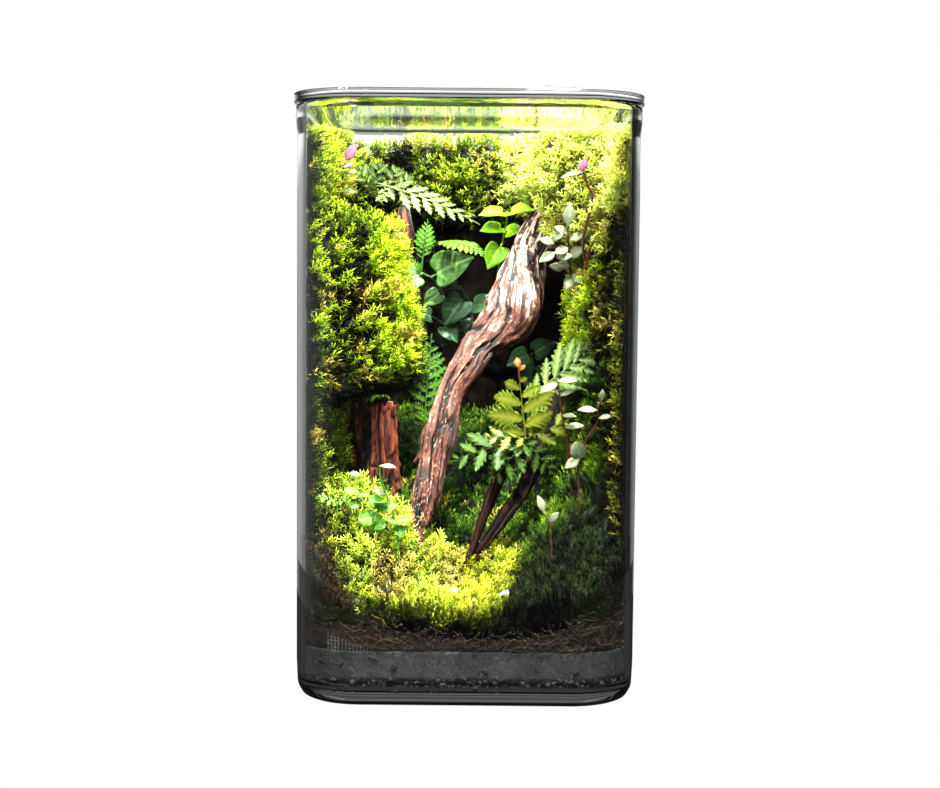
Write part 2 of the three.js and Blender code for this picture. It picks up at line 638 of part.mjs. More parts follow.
// ---- Ferns and clubmoss -------------------------------------------------------------------------
const TO_VIEW = [0, -1, 0];
const TILTED = [0, -1, 0.4]; // towards the view and a little up
const OPEN = [0, -0.6, 1]; // up and a little towards the view

// The pale fern that arches across the upper left.
plant("fern_upper_left", 0x9fc4a0)
  .stem([[-76, 44, 286], [-72, 36, 293], [-66, 26, 300], [-57, 21, 302.5]], 0.8, 0.7)
  .leaves(pinnate({ leaflets: 8, width: 0.2 }), [
    { at: 3, heading: [64, -17, -17], facing: [0.1, -0.75, 0.7], length: 70, curl: 0.35 },
  ])
  .leaves(pinnate({ leaflets: 3, width: 0.42, peak: 0.5, fold: 0 }), [
    { at: 2.3, heading: [2, -8, 14], facing: [0, -1, 0.2], length: 18 },
  ]);

// Fine sprays of clubmoss between the left column and the fig.
plant("clubmoss_upright", 0x5f9a20)
  .stem([[-33, 88, 221], [-32, 72, 226], [-30, 51, 244], [-29, 48, 257]])
  .leaves(pinnate({ leaflets: 6, width: 0.2, teeth: 0, fold: 0 }), [
    { at: 2.9, heading: [3, -4, 24], facing: TO_VIEW, length: 26, curl: 0.3 },
    { at: 2, heading: [-9, -7, 15], facing: [0, -1, 0.2], length: 17, curl: 0.3 },
  ]);
plant("clubmoss_drooping", 0x86b82c)
  .stem([[-23, 88, 260], [-22, 70, 264], [-19, 54, 267]])
  .leaves(pinnate({ leaflets: 8, width: 0.16, teeth: 0, fold: 0 }), [
    { at: 1.9, heading: [28, -30, 4], facing: [0.1, -0.4, 0.9], length: 43, curl: 0.7 },
  ]);

// The green fern against the left column's edge.
plant("fern_left_column", 0x3f9a34)
  .stem([rooted(-24, -2), [-25, -6, 138], [-26, -10, 157]], 0.9, 0.7)
  .leaves(pinnate({ leaflets: 8, width: 0.22, peak: 0.35 }), [
    { at: 1.9, heading: [4, 4, 54], facing: [0, -1, 0.1], length: 56, curl: 0.25 },
  ]);

// The pale frond that reaches to the right glass.
plant("fern_right", 0x8fb89a)
  .stem([rooted(33, 2), [35, -8, 140], [38, -13, 166], [39.5, -15, 174]], 0.9, 0.7)
  .leaves(pinnate({ leaflets: 9, width: 0.17, peak: 0.28 }), [
    { at: 2.9, heading: [46, -22, 41], facing: [-0.35, -0.9, 0.3], length: 66, curl: 0.35 },
  ]);

// The bright cut-leaved fern in the right half. It roots behind the forked root and leans over it.
plant("fern_bright", 0x9fc52f)
  .stem([rooted(39, -26), [38.5, -28, 120], [38, -30, 138], [36.8, -36, 146.5], [34.5, -46, 150]], 1, 0.8)
  .leaves(pinnate({ leaflets: 5, width: 0.5, peak: 0.3, sweep: 0.3 }), [
    { at: 3.9, heading: [-4, -3, 35], facing: [0, -1, 0.05], length: 38, curl: 0.15 },
  ])
  .leaves(pinnate({ leaflets: 3, width: 0.27, fold: 0 }), [
    { at: 3.7, heading: [-23, -9, 4], facing: [0.1, -0.8, 0.7], length: 26 },
    { at: 3.5, heading: [-44, -12, -4], facing: [0.1, -0.7, 0.8], length: 48, curl: 0.5 },
    { at: 3.6, heading: [24, -4, 12], facing: [0, -1, 0.25], length: 28 },
    { at: 3.8, heading: [-21, -13, -22], facing: [0, -1, 0.5], length: 33 },
    { at: 3.8, heading: [17, -8, -18], facing: [0, -1, 0.3], length: 26 },
  ]);

// The fine fern at the left glass.
plant("fern_far_left", 0x6fd23a)
  .stem([rooted(-74, -62), [-75, -62, 113]], 0.8, 0.7)
  .leaves(pinnate({ leaflets: 4, width: 0.3, teeth: 0, fold: 0 }), [
    { at: 0.95, heading: [-11, -6, 7], facing: OPEN, length: 16 },
    { at: 0.95, heading: [10, -7, 8], facing: OPEN, length: 16 },
  ]);

// ---- Climbing fig: stems rooted in the back bank, with heart-shaped leaves ----------------------
plant("fig_bright", 0x6fc321)
  .stem([
    [19, 90, 224],
    [18.5, 66, 232],
    [18.4, 56, 243],
    [20.2, 52, 256],
    [21.9, 48, 269],
    [23.6, 44, 279],
    [24.2, 41, 286],
  ])
  .leaves(HEART, [
    { at: 5.9, heading: [13, -7, 4], facing: [0, -0.25, 1], length: 18 },
    { at: 5.9, heading: [-12, -5, 1], facing: [0, -0.25, 1], length: 17 },
    { at: 4.6, heading: [-13, -8, 3], facing: [0, -0.5, 1], length: 16 },
    { at: 4.3, heading: [9, -5, 6], facing: [0.2, -0.6, 1], length: 12 },
    { at: 3.8, heading: [-7, -6, -11], facing: [-0.2, -1, 0.2], length: 20 },
  ]);
plant("fig_left", 0x3f8a3d)
  .stem([[-14, 90, 222], [-15, 68, 229], [-17, 56, 236], [-22, 50, 243], [-29, 46, 247]])
  .leaves(HEART, [
    { at: 3.3, heading: [22, -9, 13], facing: [-0.1, -1, 0.45], length: 31 },
    { at: 4, heading: [-13, -6, -6], facing: [-0.1, -1, 0.4], length: 22 },
    { at: 1.9, heading: [-13, -9, -9], facing: [-0.1, -1, 0.3], length: 16 },
  ]);
plant("fig_shade", 0x5a7f52)
  .stem([[4, 90, 204], [3, 68, 214], [2, 58, 224], [-1, 53, 233], [-5, 50, 239]])
  .leaves(HEART, [
    { at: 2.2, heading: [12, -9, 3], facing: [0, -1, 0.7], length: 20 },
    { at: 3, heading: [-10, -7, -12], facing: [-0.2, -1, 0.35], length: 25 },
    { at: 4, heading: [-10, -6, 2], facing: [0, -0.8, 0.9], length: 16 },
    { at: 1.7, heading: [2, -9, -12], facing: [0, -1, 0.3], length: 22 },
  ]);
plant("fig_behind_wood", 0x2f5f3a)
  .stem([[43, 86, 182], [42, 66, 190], [41, 57, 196]])
  .leaves(HEART, [
    { at: 1.9, heading: [9, -5, 6], facing: TILTED, length: 18 },
    { at: 2, heading: [-10, -6, -4], facing: TILTED, length: 19 },
    { at: 1, heading: [-2, -10, -11], facing: TILTED, length: 22 },
  ]);

// ---- Small creepers with fleshy oval leaves on pinkish stems ------------------------------------
plant("creeper_upper_left", 0xc9d6b4)
  .stem([[-80, -10, 273], [-77, -19, 284], [-76, -22, 296], [-75.6, -24, 305], [-74, -26, 313]])
  .leaves(OVAL, [
    { at: 4, heading: [6, -1, 9], facing: [0.2, -1, 0.3], length: 12 },
    { at: 3.7, heading: [-9, -2, 1], facing: OPEN, length: 8 },
    { at: 3, heading: [9, -2, 3], facing: OPEN, length: 9 },
    { at: 2.3, heading: [-8, -2, 4], facing: OPEN, length: 8 },
    { at: 1.9, heading: [9, -3, 1], facing: OPEN, length: 9 },
  ]);
plant("creeper_tall", 0xb8a878)
  .stem([
    [77, 6, 236],
    [72.5, -9, 243],
    [71.7, -12, 252],
    [69, -16, 264],
    [70.5, -19, 275],
    [74.6, -23, 291],
    [70, -27, 302],
    [67.5, -29, 307],
  ])
  .leaves(OVAL, [
    { at: 6.8, heading: [-14, -2, -1], facing: [0, -0.3, 1], length: 14 },
    { at: 7, heading: [1.5, -1, 6], facing: [0, -1, 0.2], length: 7 },
    { at: 4.8, heading: [9, -4, 1], facing: [0, -0.4, 1], length: 10 },
  ]);
plant("creeper_cluster", 0xc4d4a8)
  .stem([[72, 10, 231], [66, -6, 238], [63, -12, 245], [54, -20, 254], [51, -24, 266]], 0.7, 0.6)
  .leaves(OVAL, [
    { at: 3.5, heading: [-10, -5, -5], facing: [0, -1, 0.7], length: 12 },
    { at: 3.9, heading: [-8, -4, 3], facing: OPEN, length: 10 },
    { at: 4, heading: [5, -2, 9], facing: [0, -1, 0.3], length: 11 },
    { at: 2, heading: [-4, -9, -6], facing: TILTED, length: 12 },
  ])
  .stem([[66, -6, 238], [63, -12, 245], [60.5, -17, 254], [59.7, -21, 266], [59, -23, 275]], 0.9, 0.7)
  .leaves(OVAL, [
    { at: 4, heading: [1, -3, 9], facing: TILTED, length: 14 },
    { at: 3.1, heading: [9, -4, 4], facing: [0, -1, 0.6], length: 11 },
    { at: 2.2, heading: [9, -6, 8], facing: [-0.2, -1, 0.5], length: 13 },
    { at: 1.8, heading: [-7, -7, 1], facing: OPEN, length: 10 },
  ]);
plant("creeper_right_low", 0xb9c29a)
  .stem([
    rooted(64, -38),
    [61, -41, 138],
    [59.2, -44, 149],
    [56, -47, 163.5],
    [54.4, -50, 175],
    [53, -51, 184],
  ])
  .leaves(OVAL, [
    { at: 5, heading: [10, -4, 2], facing: OPEN, length: 12 },
    { at: 4.8, heading: [-10, -3, -3], facing: OPEN, length: 12 },
    { at: 4, heading: [8, -3, 5], facing: OPEN, length: 9 },
    { at: 3, heading: [8, -4, 1], facing: OPEN, length: 9 },
    { at: 2.5, heading: [10, -3, 3], facing: OPEN, length: 12 },
  ]);
plant("creeper_right_tall", 0xbcc79c)
  .stem([
    rooted(67, -50),
    [66, -51, 131],
    [66.5, -52, 138],
    [70, -54, 150],
    [76.5, -56, 161],
    [76.2, -57, 168],
    [78.4, -57, 173],
  ])
  .leaves(OVAL, [
    { at: 4.9, heading: [-11, -3, 2], facing: OPEN, length: 12 },
    { at: 4.2, heading: [9, -2, 3], facing: OPEN, length: 9 },
    { at: 6, heading: [1, -2, 7], facing: [0.2, -1, 0], length: 7 },
    { at: 2.1, heading: [-9, -3, -5], facing: TILTED, length: 11 },
  ])
  .leaves(ROUND, [{ at: 3, heading: [-2.5, -4, 9], facing: [0, -1, 0.3], length: 11 }]);
plant("creeper_foot_right", 0x9fb38a)
  .stem([rooted(50, -66), [49, -66, 100], [45, -66, 108]])
  .leaves(OVAL, [
    { at: 2, heading: [-3, -1, 14], facing: [0.2, -1, 0], length: 14 },
    { at: 1.2, heading: [8, -3, 9], facing: [0, -1, 0.2], length: 11 },
  ]);
plant("seedling_tall", 0xa8b86a)
  .stem([rooted(-40.5, -66), [-41.6, -65, 104], [-44.6, -66, 114], [-49, -68, 127], [-49.8, -69, 135]])
  .leaves(OVAL, [
    { at: 4, heading: [9, -3, 1], facing: [0, -0.4, 1], length: 10 },
    { at: 2.3, heading: [-7, -3, 4], facing: OPEN, length: 9 },
  ]);
plant("seedling_patch", 0x8fd234)
  .stem([rooted(-52, -68), [-52, -68, 104], [-49, -68.4, 112]])
  .leaves(ROUND, [
    { at: 2, heading: [-8, -3, 6], facing: OPEN, length: 11 },
    { at: 2, heading: [1, -9, 5], facing: OPEN, length: 10 },
    { at: 1.1, heading: [-9, -6, -1], facing: OPEN, length: 12 },
    { at: 0.9, heading: [6, -9, -1], facing: OPEN, length: 11 },
  ]);

// ---- White grit on the moss ---------------------------------------------------------------------
/** A lump of white grit, half sunk in the moss. */
function grit(name, x, y, size, turn) {
  const stone = new THREE.IcosahedronGeometry(size, 0);
  stone.rotateX(turn);
  stone.scale(1.3, 0.9, 0.8);
  const z = floorTop(x, y) + 0.7 * size;
  stone.translate(x, y, z);
  const room = stone.clone().translate(-x, -y, -z).scale(1.2, 1.2, 1.2).translate(x, y, z);
  plant(name, 0xe4e2d8).add(solidOf(stone), [solidOf(room)]);
}

grit("grit_left", -66, -40, 4.2, 0.4);
grit("grit_front_left", -6, -82, 2.8, 1.1);
grit("grit_front_right", 23, -82, 2.8, 2.3);

// ---- Assembly -----------------------------------------------------------------------------------
const sockets = [driftwood, forkedRoot, barkStump, barkChip].map((make) => make(WOOD_ROOM));
const cutters = [...sockets, ...plants.flatMap((each) => each.pockets)];
const interior = planSolid([
  [FILL_HALF, SOIL_FOOT],
  [FILL_HALF, JAR_HEIGHT - 6],
]);
const raisedSoil = soilBlock(GAP);
const grownBank = bankBlock(GAP);

const soil = carve(soilBlock(0).intersect(interior), [separatorFlap(0.35), ...cutters]);
const bank = carve(bankBlock(0).intersect(interior), [raisedSoil, ...cutters]);

const mosses = [];
const floorCushions = [];
Object.entries(FLOOR_PATCHES).forEach(([name, patch], seed) => {
  const cushion = floorMoss(patch, seed, 0).intersect(interior).subtract(raisedSoil).subtract(grownBank);
  floorCushions.push(floorMoss(patch, seed, 1.3 * GAP));
  mosses.push({ name, colour: patch.colour, body: largest(carve(cushion, cutters)) });
});
Object.entries(BANK_PATCHES).forEach(([name, patch], seed) => {
  const cushion = bankMoss(patch, seed).intersect(interior).subtract(raisedSoil).subtract(grownBank);
  mosses.push({ name, colour: patch.colour, body: largest(carve(cushion, [...floorCushions, ...cutters])) });
});

/** A named mesh in the part's own frame. */
function mesh(name, solid, color, roughness = 0.85, extra = {}) {
  const material = new THREE.MeshStandardMaterial({ color, roughness, metalness: 0, ...extra });
  const made = new THREE.Mesh(geometryOf(solid), material);
  made.name = name;
  return made;
}

const clear = { transparent: true, opacity: 0.3 };
const terrarium = new THREE.Group();
terrarium.name = "terrarium";
terrarium.add(
  mesh("jar", jar(), 0xe6f0ea, 0.05, clear),
  mesh("lid", lid(), 0xe6f0ea, 0.05, clear),
  mesh("drainage_gravel", gravel(), 0x3a3a3c),
  mesh("separator_mesh", separator(), 0xb8b8b8, 0.5),
  mesh("soil", largest(soil), 0x2b2018),
  mesh("peat_bank", largest(bank), 0x241a12),
  mesh("driftwood", driftwood(0), 0x8a5a48),
  mesh("forked_root", forkedRoot(0), 0x3a241a),
  mesh("bark_stump", barkStump(0), 0x6e2f1e),
  mesh("bark_chip", barkChip(0), 0x8a4a30),
);
for (const { name, colour, body } of mosses) terrarium.add(mesh(name, body, colour));
for (const each of plants) terrarium.add(mesh(each.name, each.body(), each.colour, 0.5));

export default terrarium;
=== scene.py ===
"""Looks of a planted glass terrarium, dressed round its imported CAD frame.

Shapes are worked out in millimetres in the part's own frame (+Z up, -Y towards the viewer, origin under the
middle of the jar's foot) and turned to metres where a mesh is made. Every draw of chance is seeded.
"""

import logging
import math
from dataclasses import dataclass, field
from enum import Enum
from typing import Any, Callable, Sequence

import bpy
import numpy as np
from mathutils import Matrix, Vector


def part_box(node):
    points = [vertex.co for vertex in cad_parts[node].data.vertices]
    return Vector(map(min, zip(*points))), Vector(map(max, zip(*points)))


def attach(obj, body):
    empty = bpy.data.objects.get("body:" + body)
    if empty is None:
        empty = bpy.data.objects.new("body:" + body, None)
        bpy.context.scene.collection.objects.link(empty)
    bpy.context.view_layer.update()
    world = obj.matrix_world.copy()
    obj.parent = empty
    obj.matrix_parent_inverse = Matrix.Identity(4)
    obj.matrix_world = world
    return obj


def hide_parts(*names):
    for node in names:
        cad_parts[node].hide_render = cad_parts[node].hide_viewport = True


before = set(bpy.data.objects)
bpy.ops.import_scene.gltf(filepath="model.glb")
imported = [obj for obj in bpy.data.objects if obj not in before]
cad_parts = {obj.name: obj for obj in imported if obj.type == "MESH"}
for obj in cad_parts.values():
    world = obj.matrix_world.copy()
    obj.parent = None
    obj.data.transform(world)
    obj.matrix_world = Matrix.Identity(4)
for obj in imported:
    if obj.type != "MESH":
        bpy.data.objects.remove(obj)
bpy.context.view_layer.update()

Array = np.ndarray
Vec = tuple[float, float, float]
Tree = bpy.types.NodeTree
Socket = bpy.types.NodeSocket
log = logging.getLogger("terrarium")

# ---- Driving sizes, in millimetres
MM = 0.001  # metres in a millimetre
BODY = "root"  # the one body that every piece rides on
JAR_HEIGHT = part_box("jar")[1].z / MM
RIM_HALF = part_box("jar")[1].x / MM
LID_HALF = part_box("lid")[1].x / MM
LID_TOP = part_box("lid")[1].z / MM
CORNER_CENTRE = 60.0  # how far the corner arcs' centres lie from the middle, along x and along y
CAP_HALF = CORNER_CENTRE + 1.0  # half width of the innermost ring, which a flat cap closes
INNER_HALF = 94.0  # half the clear width inside the walls
FILL_HALF = INNER_HALF - 0.6  # half width of everything packed against the glass
BASE_THICK = 8.0  # the jar's glass base
GRAVEL_TOP = 31.0  # height of the drainage layer's top
SOIL_FOOT = 32.4  # height of the soil's underside, on the screen
BANK_TOP = 324.0  # height of the peat bank's top
BANK_BASE = 7.0  # the bank's thickness between its swellings
BANK_START, BANK_END = -40.0, 219.0  # the bank's two ends, in degrees anticlockwise from +x
GOLDEN_ANGLE = math.pi * (3.0 - math.sqrt(5.0))


# ---- Numbers and noise
HASH_AXES = (374761393, 668265263, 1442695041)  # odd numbers that scatter neighbouring cells along x, y and z
HASH_SEED, HASH_MIX, HASH_MASK = 974634777, 1274126177, 0xFFFFFFFF


def smooth_step(x: Array | float, low: float, high: float) -> Array:
    """Smooth rise from 0 at low to 1 at high, 3t^2 - 2t^3."""
    t = np.clip((x - low) / (high - low), 0.0, 1.0)
    return t * t * (3.0 - 2.0 * t)


def unit(vectors: Array) -> Array:
    """The vectors scaled to length 1."""
    return vectors / np.maximum(np.linalg.norm(vectors, axis=-1, keepdims=True), 1e-9)


def noise(points: Array, cell: float | Sequence[float], seed: int, octaves: int = 1) -> Array:
    """Smooth noise from 0 to 1.

    Values hashed on a lattice are blended by 3t^2 - 2t^3 along x, y and z. Each further octave has half the cell
    and half the weight.

    Args:
        points: places, with x, y and z last.
        cell: the lattice's pitch in mm, one for all axes or one for each.
        seed: picks the pattern.
        octaves: how many layers are added.

    Returns:
        One value for each place.
    """
    total = np.zeros(points.shape[:-1])
    weight_sum = 0.0
    for octave in range(octaves):
        scaled = points / (np.asarray(cell, float) / 2.0**octave)
        base = np.floor(scaled).astype(np.int64)
        part = scaled - base
        blend = part * part * (3.0 - 2.0 * part)
        layer = np.zeros(points.shape[:-1])
        for corner in np.ndindex(2, 2, 2):
            at = base + np.array(corner)
            mixed = sum(at[..., axis] * odd for axis, odd in enumerate(HASH_AXES))
            mixed = (mixed + (seed + 31 * octave) * HASH_SEED) & HASH_MASK
            mixed = ((mixed ^ (mixed >> 13)) * HASH_MIX) & HASH_MASK
            value = (mixed ^ (mixed >> 16)) / HASH_MASK
            layer += value * np.prod(np.where(corner, blend, 1.0 - blend), axis=-1)
        total += layer / 2.0**octave
        weight_sum += 1.0 / 2.0**octave
    return total / weight_sum


def ridges(values: Array, sharpness: float) -> Array:
    """Narrow crests where noise crosses its middle: 1 on the crest, falling to 0 at a rate of sharpness."""
    return np.clip(1.0 - np.abs(values - 0.5) * sharpness, 0.0, 1.0)


def curve_through(stations: Sequence[Sequence[float]], count: int) -> Array:
    """A Catmull-Rom curve through stations of any number of values, sampled evenly by station number.

    Args:
        stations: rows of values.
        count: how many places are sampled.

    Returns:
        One row for each place.
    """
    s = np.asarray(stations, float)
    padded = np.vstack([2 * s[0] - s[1], s, 2 * s[-1] - s[-2]])
    t = np.linspace(0, len(s) - 1, count)
    k = np.minimum(t.astype(int), len(s) - 2)
    f = (t - k)[:, None]
    a, b, c, d = padded[k], padded[k + 1], padded[k + 2], padded[k + 3]
    return b + 0.5 * f * ((c - a) + f * ((2 * a - 5 * b + 4 * c - d) + f * (3 * (b - c) + d - a)))


# ---- Shapes as arrays
@dataclass
class Shape:
    """A mesh being made: points in mm, arrays of three- or four-cornered faces, and named values at points."""

    points: Array
    faces: list[Array]
    values: dict[str, Array] = field(default_factory=dict)

    def turned_out(self) -> "Shape":
        """The shape with its faces pointing out, judged by the sign of its volume.

        Returns:
            This shape.
        """
        volume = 0.0
        for faces in self.faces:
            for third in range(2, faces.shape[1]):
                a, b, c = (self.points[faces[:, k]] for k in (0, third - 1, third))
                volume += float(np.einsum("ij,ij->", a, np.cross(b, c)))
        if volume < 0:
            self.faces = [faces[:, ::-1] for faces in self.faces]
        return self


def join(shapes: Sequence[Shape]) -> Shape:
    """Several shapes as one. A value that a shape lacks is 0 there.

    Args:
        shapes: what to join.

    Returns:
        The joined shape.
    """
    names = sorted({name for shape in shapes for name in shape.values})
    starts = np.cumsum([0] + [len(shape.points) for shape in shapes])
    faces = [f + start for shape, start in zip(shapes, starts) for f in shape.faces]
    sides = sorted({f.shape[1] for f in faces})
    return Shape(
        np.vstack([shape.points for shape in shapes]),
        [np.vstack([f for f in faces if f.shape[1] == side]) for side in sides],
        {n: np.concatenate([s.values.get(n, np.zeros(len(s.points))) for s in shapes]) for n in names},
    )


def grid_quads(rows: int, columns: int, wrap: bool = False) -> Array:
    """The four-cornered faces of a grid of points, its last column joined to its first where it wraps.

    Args:
        rows: rows of points.
        columns: points in a row.
        wrap: whether each row is a closed ring.

    Returns:
        Corner numbers, [face, corner].
    """
    i, j = np.meshgrid(np.arange(rows - 1), np.arange(columns if wrap else columns - 1), indexing="ij")
    k = (j + 1) % columns
    corners = [i * columns + j, i * columns + k, (i + 1) * columns + k, (i + 1) * columns + j]
    return np.stack(corners, axis=-1).reshape(-1, 4)


def repeated(faces: Array, count: int, stride: int) -> Array:
    """The faces of one copy given to each of several copies, whose points follow each other by a stride."""
    return (faces[None] + stride * np.arange(count)[:, None, None]).reshape(-1, faces.shape[1])


def loft(rings: Array, **values: Array) -> Shape:
    """A closed form through rings, [ring, place on it, xyz], each end closed to the mean of its ring.

    Args:
        rings: the form's outlines.
        values: numbers at the rings' points.

    Returns:
        The closed form.
    """
    m, n = rings.shape[:2]
    points = np.vstack([rings.reshape(-1, 3), rings[0].mean(0), rings[-1].mean(0)])
    j = np.arange(n)
    k = (j + 1) % n
    first = np.stack([k, j, np.full(n, m * n)], axis=-1)
    last = np.stack([(m - 1) * n + j, (m - 1) * n + k, np.full(n, m * n + 1)], axis=-1)
    named = {key: np.concatenate([v.ravel(), [v[0].mean(), v[-1].mean()]]) for key, v in values.items()}
    return Shape(points, [grid_quads(m, n, wrap=True), np.vstack([first, last])], named).turned_out()


def skins(front: Array, back: Array, **values: Array) -> Shape:
    """Closed thin forms between two grids each, [form, row, column, xyz], walled round their borders.

    Args:
        front: the outer grids.
        back: the inner grids.
        values: numbers at the grids' points.

    Returns:
        All forms as one shape.
    """
    count, rows, columns = front.shape[:3]
    size = rows * columns
    face = grid_quads(rows, columns)
    rim = np.concatenate([
        np.arange(columns),
        np.arange(2 * columns - 1, size, columns),
        np.arange(size - 2, size - columns - 1, -1),
        np.arange(size - 2 * columns, 0, -columns),
    ])
    after = np.roll(rim, -1)
    walls = np.stack([after, rim, rim + size, after + size], axis=-1)
    one = np.vstack([face, face[:, ::-1] + size, walls])
    points = np.stack([front, back], axis=1).reshape(-1, 3)
    named = {k: np.repeat(v.reshape(count, 1, size), 2, axis=1).ravel() for k, v in values.items()}
    return Shape(points, [repeated(one, count, 2 * size)], named).turned_out()


def skin(front: Array, back: Array, **values: Array) -> Shape:
    """One closed thin form between two grids, [row, column, xyz]."""
    return skins(front[None], back[None], **{key: v[None] for key, v in values.items()})


def path_axes(path: Array) -> tuple[Array, Array]:
    """Two directions square to a path and to each other, the first also to the world axis that it leans on least.

    Args:
        path: points along it.

    Returns:
        Side and depth directions at each point.
    """
    ahead = unit(np.gradient(path, axis=0))
    spare = np.eye(3)[np.argmin(np.abs(ahead).mean(0))]
    side = unit(np.cross(ahead, spare))
    return side, np.cross(ahead, side)


def tube(path: Array, radius: Array, sides: int, **values: Array) -> Shape:
    """A round stem: rings of radius r(cos a, sin a) set square to a path.

    Args:
        path: points along it.
        radius: one for each point.
        sides: corners of a ring.
        values: numbers at the path's points.

    Returns:
        The closed stem.
    """
    side, depth = path_axes(path)
    a = np.linspace(0, 2 * np.pi, sides, endpoint=False)
    spoke = side[:, None] * np.cos(a)[None, :, None] + depth[:, None] * np.sin(a)[None, :, None]
    rings = path[:, None] + spoke * np.asarray(radius)[:, None, None]
    return loft(rings, **{key: np.repeat(v[:, None], sides, axis=1) for key, v in values.items()})


def copies(template: Shape, origin: Array, axes: Array, scale: Array, **values: Array) -> Shape:
    """A template set out many times.

    Args:
        template: the shape to repeat, in its own unit.
        origin: where each copy's zero goes, [copy, xyz].
        axes: each copy's x, y and z directions, [copy, axis, xyz].
        scale: size of each copy along its own axes, [copy, 3], or one number each, [copy, 1].
        values: one number for each copy, kept at all its points.

    Returns:
        All copies as one shape.
    """
    count, size = len(origin), len(template.points)
    stretched = template.points[None] * scale[:, None, :]
    points = origin[:, None] + np.einsum("nki,nij->nkj", stretched, axes)
    named = {key: np.tile(v, count) for key, v in template.values.items()}
    named |= {key: np.repeat(v, size) for key, v in values.items()}
    return Shape(points.reshape(-1, 3), [repeated(f, count, size) for f in template.faces], named)


def axes_about(up: Array, turn: Array) -> Array:
    """Directions x, y and z for copies whose z is given, each turned about it by an angle.

    Args:
        up: each copy's z.
        turn: each copy's angle.

    Returns:
        Directions, [copy, axis, xyz].
    """
    z = unit(up)
    spare = np.where(np.abs(z[:, 2:3]) < 0.9, np.array([0.0, 0.0, 1.0]), np.array([1.0, 0.0, 0.0]))
    x0 = unit(np.cross(spare, z))
    y0 = np.cross(z, x0)
    x = x0 * np.cos(turn)[:, None] + y0 * np.sin(turn)[:, None]
    return np.stack([x, np.cross(z, x), z], axis=1)


# ---- Pieces
def add_piece(
    name: str, shape: Shape, look: "Look", replaces: Sequence[str] = (), smooth: bool = True
) -> None:
    """Makes a mesh object of a shape, dresses it and lets it ride on the part's body.

    Args:
        name: the piece's name.
        shape: its mesh, in mm.
        look: the finish it wears.
        replaces: CAD nodes that it stands for.
        smooth: smooth shading, or flat facets.
    """
    mesh = bpy.data.meshes.new(name)
    mesh.vertices.add(len(shape.points))
    mesh.vertices.foreach_set("co", (shape.points * MM).astype(np.float32).ravel())
    sizes = np.concatenate([np.full(len(f), f.shape[1]) for f in shape.faces])
    mesh.loops.add(int(sizes.sum()))
    mesh.loops.foreach_set("vertex_index", np.concatenate([f.ravel() for f in shape.faces]).astype(np.int32))
    mesh.polygons.add(len(sizes))
    mesh.polygons.foreach_set("loop_start", (np.cumsum(sizes) - sizes).astype(np.int32))
    mesh.polygons.foreach_set("loop_total", sizes.astype(np.int32))
    mesh.polygons.foreach_set("use_smooth", np.full(len(sizes), smooth))
    for key, value in shape.values.items():
        mesh.attributes.new(key, "FLOAT", "POINT").data.foreach_set("value", value.astype(np.float32))
    mesh.update(calc_edges=True)
    mesh.validate()
    mesh.materials.append(look.value.material())
    piece = bpy.data.objects.new(name, mesh)
    bpy.context.scene.collection.objects.link(piece)
    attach(piece, BODY)
    if replaces:
        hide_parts(*replaces)
    log.info("%s: %d faces", name, len(mesh.polygons))


# ---- Finishes
def linear(code: str) -> tuple[float, float, float, float]:
    """The linear colour of an sRGB hex code such as "a4bb33"."""
    channels = [int(code[k : k + 2], 16) / 255 for k in (0, 2, 4)]
    return (*(c / 12.92 if c <= 0.04045 else ((c + 0.055) / 1.055) ** 2.4 for c in channels), 1.0)


def per_metre(size_mm: float) -> float:
    """The scale of a pattern on coordinates in metres whose features are this many mm across."""
    return 1.0 / (size_mm * MM)


def add_node(
    tree: Tree, kind: str, inputs: dict[str | int, Any] | Sequence[Any] = (), out: str | int = 0,
    stops: Sequence[tuple[float, str]] = (), **settings: Any,
) -> Socket | None:
    """Adds a node to a tree.

    Args:
        tree: the material's or world's node tree.
        kind: the node's type name, without its leading ShaderNode.
        inputs: values or linked outputs, by input name or number, or in order from the first.
        out: the output that is handed on.
        stops: positions and hex colours of its colour ramp, the first and the last stop before the others.
        settings: the node's own properties.

    Returns:
        The node's output, or nothing from a node that has none.
    """
    node = tree.nodes.new("ShaderNode" + kind)
    for key, value in settings.items():
        setattr(node, key, value)
    for key, value in inputs.items() if isinstance(inputs, dict) else enumerate(inputs):
        if isinstance(value, Socket):
            tree.links.new(value, node.inputs[key])
        else:
            node.inputs[key].default_value = value
    for k, (position, code) in enumerate(stops):
        elements = node.color_ramp.elements
        element = elements[k] if k < 2 else elements.new(position)
        element.position, element.color = position, linear(code)
    return node.outputs[out] if len(node.outputs) else None


# A Mix node of colours: the share goes in at 0, the colours at 6 and 7, and the mixed one comes out at 2.
OF_COLOURS: dict[str, Any] = {"out": 2, "data_type": "RGBA"}


